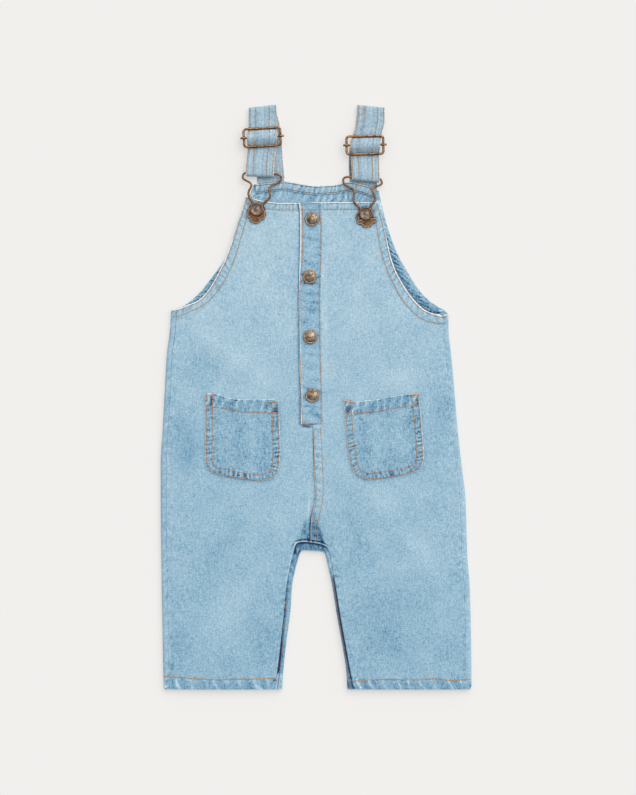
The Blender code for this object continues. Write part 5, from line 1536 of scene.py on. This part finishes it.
def clip_pieces(side):
    """Wire clip, the scalloped plate at its foot and the bib button that it hooks on."""
    x, y, turn = STRAP[side]["button"]
    level = bib_level(x, y)
    foot = np.array([*CLIP_WIRE_PATH[:-7], *CLIP_FOOT])
    ear = np.array(CLIP_WIRE_PATH) if side == "right" else foot
    right, left = (mirrored(read_path(half, np.linspace(0.0, lengths_along(half)[-1], 90)))[index]
                   for index, half in enumerate((foot, ear)))
    path = np.vstack((left[:-1], right))
    skew = math.tan(math.radians(STRAP[side]["bar"] - turn))
    path[:, 1] = path[:, 1] + skew * path[:, 0] * ease((path[:, 1] - 20.0) / 8.0)
    on_bib = CLIP_LIFT + CLIP_WIRE / 2.0
    heights = on_bib + ease((path[:, 1] - 15.5) / 13.0) * (LOOP_LEVEL - level - on_bib)
    wire("wire_clip_%s_wire" % side, set_down(np.column_stack((path, heights)), x, y, level, turn), CLIP_WIRE,
         look_of("clip_brass"), ("wire_clip_" + side,))

    half = np.array(CLIP_PLATES[side])
    right, left = mirrored(read_path(half, np.linspace(0.0, lengths_along(half)[-1], 48)))
    outline = np.vstack((right, left[1:-1]))
    form = bmesh.new()
    bmesh.ops.create_circle(form, cap_ends=True, segments=len(outline), radius=1.0)
    form.verts.ensure_lookup_table()
    ring = sorted(form.verts, key=lambda vertex: -math.atan2(vertex.co.x, vertex.co.y) % (2.0 * math.pi))
    centre = outline.mean(axis=0)
    order = np.argsort([-math.atan2(px - centre[0], py - centre[1]) % (2.0 * math.pi) for px, py in outline])
    for vertex, index in zip(ring, order):
        vertex.co = (outline[index][0], outline[index][1], 0.0)
    face = form.faces[:]
    bmesh.ops.inset_region(form, faces=face, use_boundary=True, thickness=0.75, depth=0.0, use_even_offset=True)
    rim = [item for item in form.faces if len(item.verts) <= 8]
    lifted = bmesh.ops.extrude_face_region(form, geom=rim)
    tops = [item for item in lifted["geom"] if isinstance(item, bmesh.types.BMVert)]
    bmesh.ops.translate(form, verts=tops, vec=(0.0, 0.0, 0.45))
    bmesh.ops.recalc_face_normals(form, faces=form.faces)
    mesh = bpy.data.meshes.new("clip_plate_%s_metal" % side)
    angle = math.radians(turn)
    place = Matrix.Translation(Vector((x, y, level + 0.75)) * MM) @ Matrix.Rotation(angle, 4, "Z") @ Matrix.Scale(MM, 4)
    bmesh.ops.transform(form, matrix=place, verts=form.verts)
    form.to_mesh(mesh)
    form.free()
    heights = np.array([vertex.co.z for vertex in mesh.vertices])
    store(mesh, "rim", (heights > heights.min() + 0.2 * MM) * 1.0)
    plate = take("clip_plate_%s_metal" % side, mesh, look_of("plate_brass"), ("clip_plate_" + side,))
    thick = plate.modifiers.new("thickness", "SOLIDIFY")
    thick.thickness = 0.7 * MM
    thick.offset = -1.0
    edge = plate.modifiers.new("rounding", "BEVEL")
    edge.width = 0.16 * MM
    edge.segments = 2

    cap = CLIP_LIFT + CLIP_WIRE + GAP
    profile = [(0.0, cap + 1.62), (0.8, cap + 1.58), (1.2, cap + 1.45), (4.4, cap + 1.45), (4.75, cap + 1.6),
               (5.0, cap + 2.1), (5.2, cap + 2.3), (5.5, cap + 2.3), (5.75, cap + 2.05), (5.88, cap + 1.6),
               (5.8, cap + 1.0), (5.5, cap + 0.55), (5.0, cap + 0.25), (3.0, cap), (1.6, cap), (1.6, GAP), (0.0, GAP)]
    turned("bib_button_%s_cap" % side, profile, (x, y, level), 0.0, look_of("button_brass"), ("bib_button_" + side,))


def snap_piece(number, x, y):
    """Domed snap cap with a rolled rim, pressed a little into the cloth."""
    level = bib_level(x, y) - HEM_RAISE + 0.95
    profile = [(0.0, 2.55), (1.2, 2.5), (2.4, 2.36), (3.4, 2.12), (4.2, 1.80), (4.75, 1.5), (5.05, 1.42), (5.35, 1.52),
               (5.75, 1.6), (6.1, 1.45), (6.25, 1.1), (6.15, 0.7), (5.9, 0.3), (5.4, 0.0), (0.0, 0.0)]
    turned("snap_%d_cap" % number, profile, (x, y, level), 0.0, look_of("cap_brass"), ("snap_%d" % number,))


# ---------------------------------------------------------------- sizes and colours

def length(name, description, default):
    return FloatProperty(name=name, description=description, default=default, min=0.0, precision=5, unit="LENGTH")


def colour(name, description, default):
    return FloatVectorProperty(name=name, description=description, default=default, min=0.0, max=1.0, size=3,
                               subtype="COLOR")


class DungareesSizes(PropertyGroup):
    """Sizes of the finished cloth and sewing."""

    wall: length("Panel wall", "Thickness of the front and back panels", 0.0011)
    pocket_wall: length("Pocket wall", "Thickness of the pockets' cloth", 0.0005)
    placket_wall: length("Button strip wall", "Thickness of the button strip's cloth", 0.00025)
    strap_wall: length("Strap wall", "Thickness of the doubled straps", 0.0013)
    front_pitch: length("Front grid", "Distance between the points of the front panels", 0.0016)
    back_pitch: length("Back grid", "Distance between the points of the back panels", 0.0021)
    fine_pitch: length("Fine grid", "Distance between the points of pockets and straps", 0.0010)
    stitch_width: length("Stitch width", "Width of a topstitch", 0.00090)
    stitch_height: length("Stitch height", "Height of a topstitch", 0.00050)
    stitch_step: length("Stitch step", "Distance from one topstitch to the next", 0.0030)


class DungareesColours(PropertyGroup):
    """Colours of the cloth, thread and metal."""

    hollow: colour("Hollows", "Dark of the seams' slots", (0.011, 0.034, 0.075))
    ink: colour("Ink", "Deepest dye, between the puckers", (0.055, 0.152, 0.275))
    indigo: colour("Indigo", "Dye where the wash has taken little", (0.172, 0.335, 0.468))
    washed: colour("Washed", "Most of the cloth", (0.318, 0.486, 0.604))
    faded: colour("Faded", "Cloth on ridges", (0.465, 0.602, 0.674))
    bleached: colour("Bleached", "Edges that the wash has stripped", (0.790, 0.855, 0.885))
    thread: colour("Thread", "Topstitching thread", (0.50, 0.265, 0.105))
    dull_thread: colour("Dull thread", "Thread inside the back's neck and along the inner legs", (0.27, 0.185, 0.155))
    bartack: colour("Bartack thread", "Thread of the bartacks", (0.84, 0.36, 0.09))
    grey: colour("Grey yarn", "Yarn that dulls the straps", (0.50, 0.49, 0.48))
    copper: colour("Copper", "Wires where they are rubbed", (0.42, 0.215, 0.095))
    clip: colour("Clips", "Clip wires where they are rubbed", (0.285, 0.155, 0.082))
    patina: colour("Patina", "Brown cover of the wires", (0.15, 0.075, 0.034))
    rim: colour("Rims", "Rubbed rims of caps, buttons and plates", (0.38, 0.225, 0.115))
    button: colour("Buttons", "Rubbed metal of the bib buttons", (0.215, 0.165, 0.135))
    button_patina: colour("Button patina", "Dark cover of the buttons and plates", (0.075, 0.050, 0.038))
    plate: colour("Plates", "Rubbed metal of the clips' plates", (0.17, 0.095, 0.052))
    cap: colour("Caps", "Rubbed metal of the snap caps", (0.325, 0.262, 0.200))
    cap_patina: colour("Cap patina", "Dark cover of the snap caps", (0.095, 0.073, 0.052))


class DungareesStage(PropertyGroup):
    """Floor, light and camera."""

    floor: colour("Floor", "Colour of the floor", (0.40, 0.395, 0.39))
    glow: FloatProperty(name="Floor glow", description="Light of the floor's own, which softens shadows", default=0.427,
                        min=0.0)
    key: FloatProperty(name="Key light", description="Strength of the soft key light", default=1.5, min=0.0)
    sky: FloatProperty(name="Room light", description="Strength of the light from all round", default=0.60, min=0.0)
    camera_height: length("Camera height", "Height of the camera above the garment", 2.0)
    view_height: length("View", "Height of the floor that the camera sees", 0.7155)


def sizes():
    return bpy.context.scene.dungarees_sizes


def stitch_size():
    return tuple(value / MM for value in (sizes().stitch_width, sizes().stitch_height, sizes().stitch_step))


# ---------------------------------------------------------------- operators

class DUNGAREES_OT_fronts(Operator):
    """Front panels with their hems, creases and puckered seams"""

    bl_idname = "dungarees.fronts"
    bl_label = "Fronts"

    def execute(self, context):
        for side in SIDES:
            x, y = front_points(side, sizes().front_pitch / MM)
            marks = front_cloth(x, y)
            piece = cloth("front_%s_cloth" % side, np.dstack((x, y, marks.height)), marks, sizes().wall / MM,
                          look_of("denim"), ("front_" + side,))
        return {"FINISHED"}


class DUNGAREES_OT_backs(Operator):
    """Back panels, flat on the surface and rolled up round the sides and inner legs"""

    bl_idname = "dungarees.backs"
    bl_label = "Backs"

    def execute(self, context):
        for side in SIDES:
            piece = back_piece(side, sizes().back_pitch / MM, sizes().wall / MM)
        return {"FINISHED"}


class DUNGAREES_OT_facings(Operator):
    """Turned facings inside the back's neck and armholes"""

    bl_idname = "dungarees.facings"
    bl_label = "Facings"

    def execute(self, context):
        for name, kind in (("back_top_facing", "neck"), ("armhole_facing_left", "back_armhole"),
                           ("armhole_facing_right", "back_armhole")):
            piece = facing_piece(name, kind, 0.7)
        return {"FINISHED"}


class DUNGAREES_OT_placket(Operator):
    """Button strip down the middle of the front"""

    bl_idname = "dungarees.placket"
    bl_label = "Button strip"

    def execute(self, context):
        piece = placket_piece(sizes().fine_pitch / MM, sizes().placket_wall / MM)
        return {"FINISHED"}


class DUNGAREES_OT_pockets(Operator):
    """Patch pockets on the fronts"""

    bl_idname = "dungarees.pockets"
    bl_label = "Pockets"

    def execute(self, context):
        for side in SIDES:
            piece = pocket_piece(side, sizes().fine_pitch / MM, sizes().pocket_wall / MM)
        return {"FINISHED"}


class DUNGAREES_OT_straps(Operator):
    """Straps, folded over at the shoulders and woven through the buckles"""

    bl_idname = "dungarees.straps"
    bl_label = "Straps"

    def execute(self, context):
        for side in SIDES:
            piece = strap_piece(side, sizes().fine_pitch / MM, sizes().strap_wall / MM)
        return {"FINISHED"}


class DUNGAREES_OT_stitching(Operator):
    """Rows of topstitching on every piece"""

    bl_idname = "dungarees.stitching"
    bl_label = "Topstitching"

    def execute(self, context):
        thread = look_of("thread")
        size = stitch_size()
        for side in SIDES:
            seams = lay(front_rows(side), seam_bed)
            sew("leg_hem_%s_stitching" % side, [seams.pop(4)], thread, (1.2, 0.55, size[2]), 1.2)
            sew("front_%s_stitching" % side, seams, thread, size)
            rows = [moved(pocket_outline(side), offset, -1.0) for offset in POCKET_ROWS]
            rows.append(dense(POCKET_HEM_ROW[side], 2.0))
            seams = lay(rows, lambda x, y: pocket_top(side, x, y)[0] - 0.1)
            sew("pocket_%s_stitching" % side, seams, thread, size)
            sew("strap_%s_stitching" % side, strap_seams(side, sizes().strap_wall / MM), thread, size)
            under = (size[0], 0.3, size[2])
            seams = lay(back_rows(side), lambda x, y: np.full(np.shape(x), 0.22), -1.0)
            sew("back_%s_stitching" % side, seams, thread, under)
            leg = np.array(LEG[side])
            row = moved(leg[:-3, 2:], np.linspace(2.4, 1.1, len(dense(leg[:-3, 2:], 2.0))), -SIGN[side])
            seams = lay([row], lambda x, y: strip_level(x, y, beside(leg[:, :2], x, y)[0],
                                                        beside(leg[:, 2:], x, y)[0], STRIP_DIP) + 0.15)
            sew("inner_leg_%s_stitching" % side, seams, look_of("dull_thread"), size)
        rows = [dense(row, 2.0) for row in (*PLACKET_ROWS, PLACKET_FOOT)]
        for offset in BIB_ROWS:
            row = dense([(x, y - offset) for x, y in BIB_TOP], 2.0)
            rows.append(row[(row[:, 0] > PLACKET[-1][1] + 0.5) & (row[:, 0] < PLACKET[-1][2] - 0.5)])
        sew("placket_stitching", lay(rows, lambda x, y: placket_top(x, y) - 0.1), thread, size)
        path, hand = facing_bed("back_top_facing")
        rows = [moved(path, offset, hand) for offset in NECK_ROWS]
        seams = lay(rows[:1], lambda x, y: np.full(np.shape(x), FACING_LEVEL - 0.1))
        seams += lay(rows[1:], lambda x, y: np.full(np.shape(x), FACING_LEVEL - 0.6))
        sew("facing_stitching", seams, look_of("dull_thread"), size)
        return {"FINISHED"}


class DUNGAREES_OT_bartacks(Operator):
    """Bartacks at the pockets' corners, the button strip's foot and the back's neck"""

    bl_idname = "dungarees.bartacks"
    bl_label = "Bartacks"

    def execute(self, context):
        def surface(x, y):
            height = front_cloth(x, y).height
            for side in SIDES:
                on_pocket = (np.abs(x - SIGN[side] * 62.0) < 39.0) & (y < 6.0)
                height = np.where(on_pocket, pocket_top(side, x, y)[0], height)
            return np.where(np.abs(x + 4.5) < 10.5, placket_top(x, y), height)

        seams = lay(bars(BARTACKS), surface, lift=0.1)
        seams += lay(bars(NECK_BARTACKS), lambda x, y: np.full(np.shape(x), FACING_LEVEL), lift=0.1)
        sew("bartacks", seams, look_of("bartack"), (0.55, 0.45, 4.0), 1.0)
        return {"FINISHED"}


class DUNGAREES_OT_buckles(Operator):
    """Strap buckles with their slide bars"""

    bl_idname = "dungarees.buckles"
    bl_label = "Buckles"

    def execute(self, context):
        for side in SIDES:
            buckle_pieces(side)
        return {"FINISHED"}


class DUNGAREES_OT_clips(Operator):
    """Wire clips, their plates and the bib buttons"""

    bl_idname = "dungarees.clips"
    bl_label = "Clips and bib buttons"

    def execute(self, context):
        for side in SIDES:
            clip_pieces(side)
        return {"FINISHED"}


class DUNGAREES_OT_snaps(Operator):
    """Snap caps down the button strip"""

    bl_idname = "dungarees.snaps"
    bl_label = "Snaps"

    def execute(self, context):
        for number, (x, y) in enumerate(SNAPS, start=1):
            snap_piece(number, x, y)
        return {"FINISHED"}


def room_light(world, strength):
    """Even pale light from all round, brighter from the upper right and darker from below it."""
    world.use_nodes = True
    tree = world.node_tree
    tree.nodes.clear()
    way = node(tree, "ShaderNodeTexCoord").outputs["Generated"]
    toward = Vector((0.35, 0.65, 0.67)).normalized()
    lean = node(tree, "ShaderNodeVectorMath", {"operation": "DOT_PRODUCT"}, {1: toward}, {0: way}).outputs["Value"]
    bright = ranged(tree, lean, -0.6, 1.0, 0.20 * strength, 1.85 * strength, False, True)
    light = node(tree, "ShaderNodeBackground", {}, {"Color": (1.0, 0.995, 0.985, 1.0)}, {"Strength": bright})
    seen = node(tree, "ShaderNodeBackground", {}, {"Color": (0.88, 0.87, 0.86, 1.0), "Strength": 1.0})
    mixed = node(tree, "ShaderNodeMixShader", {}, {}, {1: light.outputs[0], 2: seen.outputs[0]})
    ray = node(tree, "ShaderNodeLightPath")
    tree.links.new(ray.outputs["Is Camera Ray"], mixed.inputs["Fac"])
    out = node(tree, "ShaderNodeOutputWorld")
    tree.links.new(mixed.outputs[0], out.inputs["Surface"])


class DUNGAREES_OT_stage(Operator):
    """Pale floor, soft studio light and the camera above the garment"""

    bl_idname = "dungarees.stage"
    bl_label = "Stage"

    def execute(self, context):
        scene = context.scene
        settings = scene.dungarees_stage
        ground = bmesh.new()
        bmesh.ops.create_grid(ground, x_segments=1, y_segments=1, size=4.0)
        mesh = bpy.data.meshes.new("floor")
        ground.to_mesh(mesh)
        ground.free()
        floor = bpy.data.objects.new("floor", mesh)
        scene.collection.objects.link(floor)
        look, tree, shader = new_look("floor_finish", 0.95)
        shader.inputs["Base Color"].default_value = (*settings.floor, 1.0)
        shader.inputs["Specular IOR Level"].default_value = 0.0
        shader.inputs["Emission Color"].default_value = (1.0, 0.99, 0.97, 1.0)
        shader.inputs["Emission Strength"].default_value = settings.glow
        mesh.materials.append(look)

        world = bpy.data.worlds.new("studio")
        scene.world = world
        room_light(world, settings.sky)
        light = bpy.data.lights.new("key", "SUN")
        light.energy = settings.key
        light.angle = math.radians(60.0)
        light.color = (1.0, 0.99, 0.97)
        key = bpy.data.objects.new("key", light)
        key.rotation_euler = Vector((0.42, 0.62, 0.95)).to_track_quat("Z", "Y").to_euler()
        scene.collection.objects.link(key)

        lens = bpy.data.cameras.new("camera")
        lens.sensor_width = 36.0
        lens.lens = 36.0 * settings.camera_height / settings.view_height
        camera = bpy.data.objects.new("camera", lens)
        camera.location = (1.7 * MM, 0.45 * MM, settings.camera_height + SEAM_LEVEL * MM)
        scene.collection.objects.link(camera)
        scene.camera = camera
        scene.view_settings.view_transform = "Standard"
        return {"FINISHED"}


class DUNGAREES_PT_panel(Panel):
    """Pieces of the dungarees, in the order of their making"""

    bl_label = "Dungarees"
    bl_space_type = "VIEW_3D"
    bl_region_type = "UI"
    bl_category = "Dungarees"

    def draw(self, context):
        layout = self.layout
        for group in (context.scene.dungarees_sizes, context.scene.dungarees_colours, context.scene.dungarees_stage):
            box = layout.box()
            for name in group.__annotations__:
                box.prop(group, name)
        for operator in OPERATORS:
            layout.operator(operator.bl_idname)


GROUPS = {"dungarees_sizes": DungareesSizes, "dungarees_colours": DungareesColours, "dungarees_stage": DungareesStage}
OPERATORS = (DUNGAREES_OT_stage, DUNGAREES_OT_backs, DUNGAREES_OT_facings, DUNGAREES_OT_fronts, DUNGAREES_OT_pockets,
             DUNGAREES_OT_placket, DUNGAREES_OT_straps, DUNGAREES_OT_stitching, DUNGAREES_OT_bartacks,
             DUNGAREES_OT_buckles, DUNGAREES_OT_clips, DUNGAREES_OT_snaps)


def register():
    for name, group in GROUPS.items():
        bpy.utils.register_class(group)
        setattr(bpy.types.Scene, name, PointerProperty(type=group))
    for operator in OPERATORS:
        bpy.utils.register_class(operator)
    bpy.utils.register_class(DUNGAREES_PT_panel)


def unregister():
    bpy.utils.unregister_class(DUNGAREES_PT_panel)
    for operator in reversed(OPERATORS):
        bpy.utils.unregister_class(operator)
    for name, group in GROUPS.items():
        delattr(bpy.types.Scene, name)
        bpy.utils.unregister_class(group)


def main():
    register()
    for operator in OPERATORS:
        getattr(bpy.ops.dungarees, operator.bl_idname.split(".")[1])()


if __name__ == "__main__":
    main()
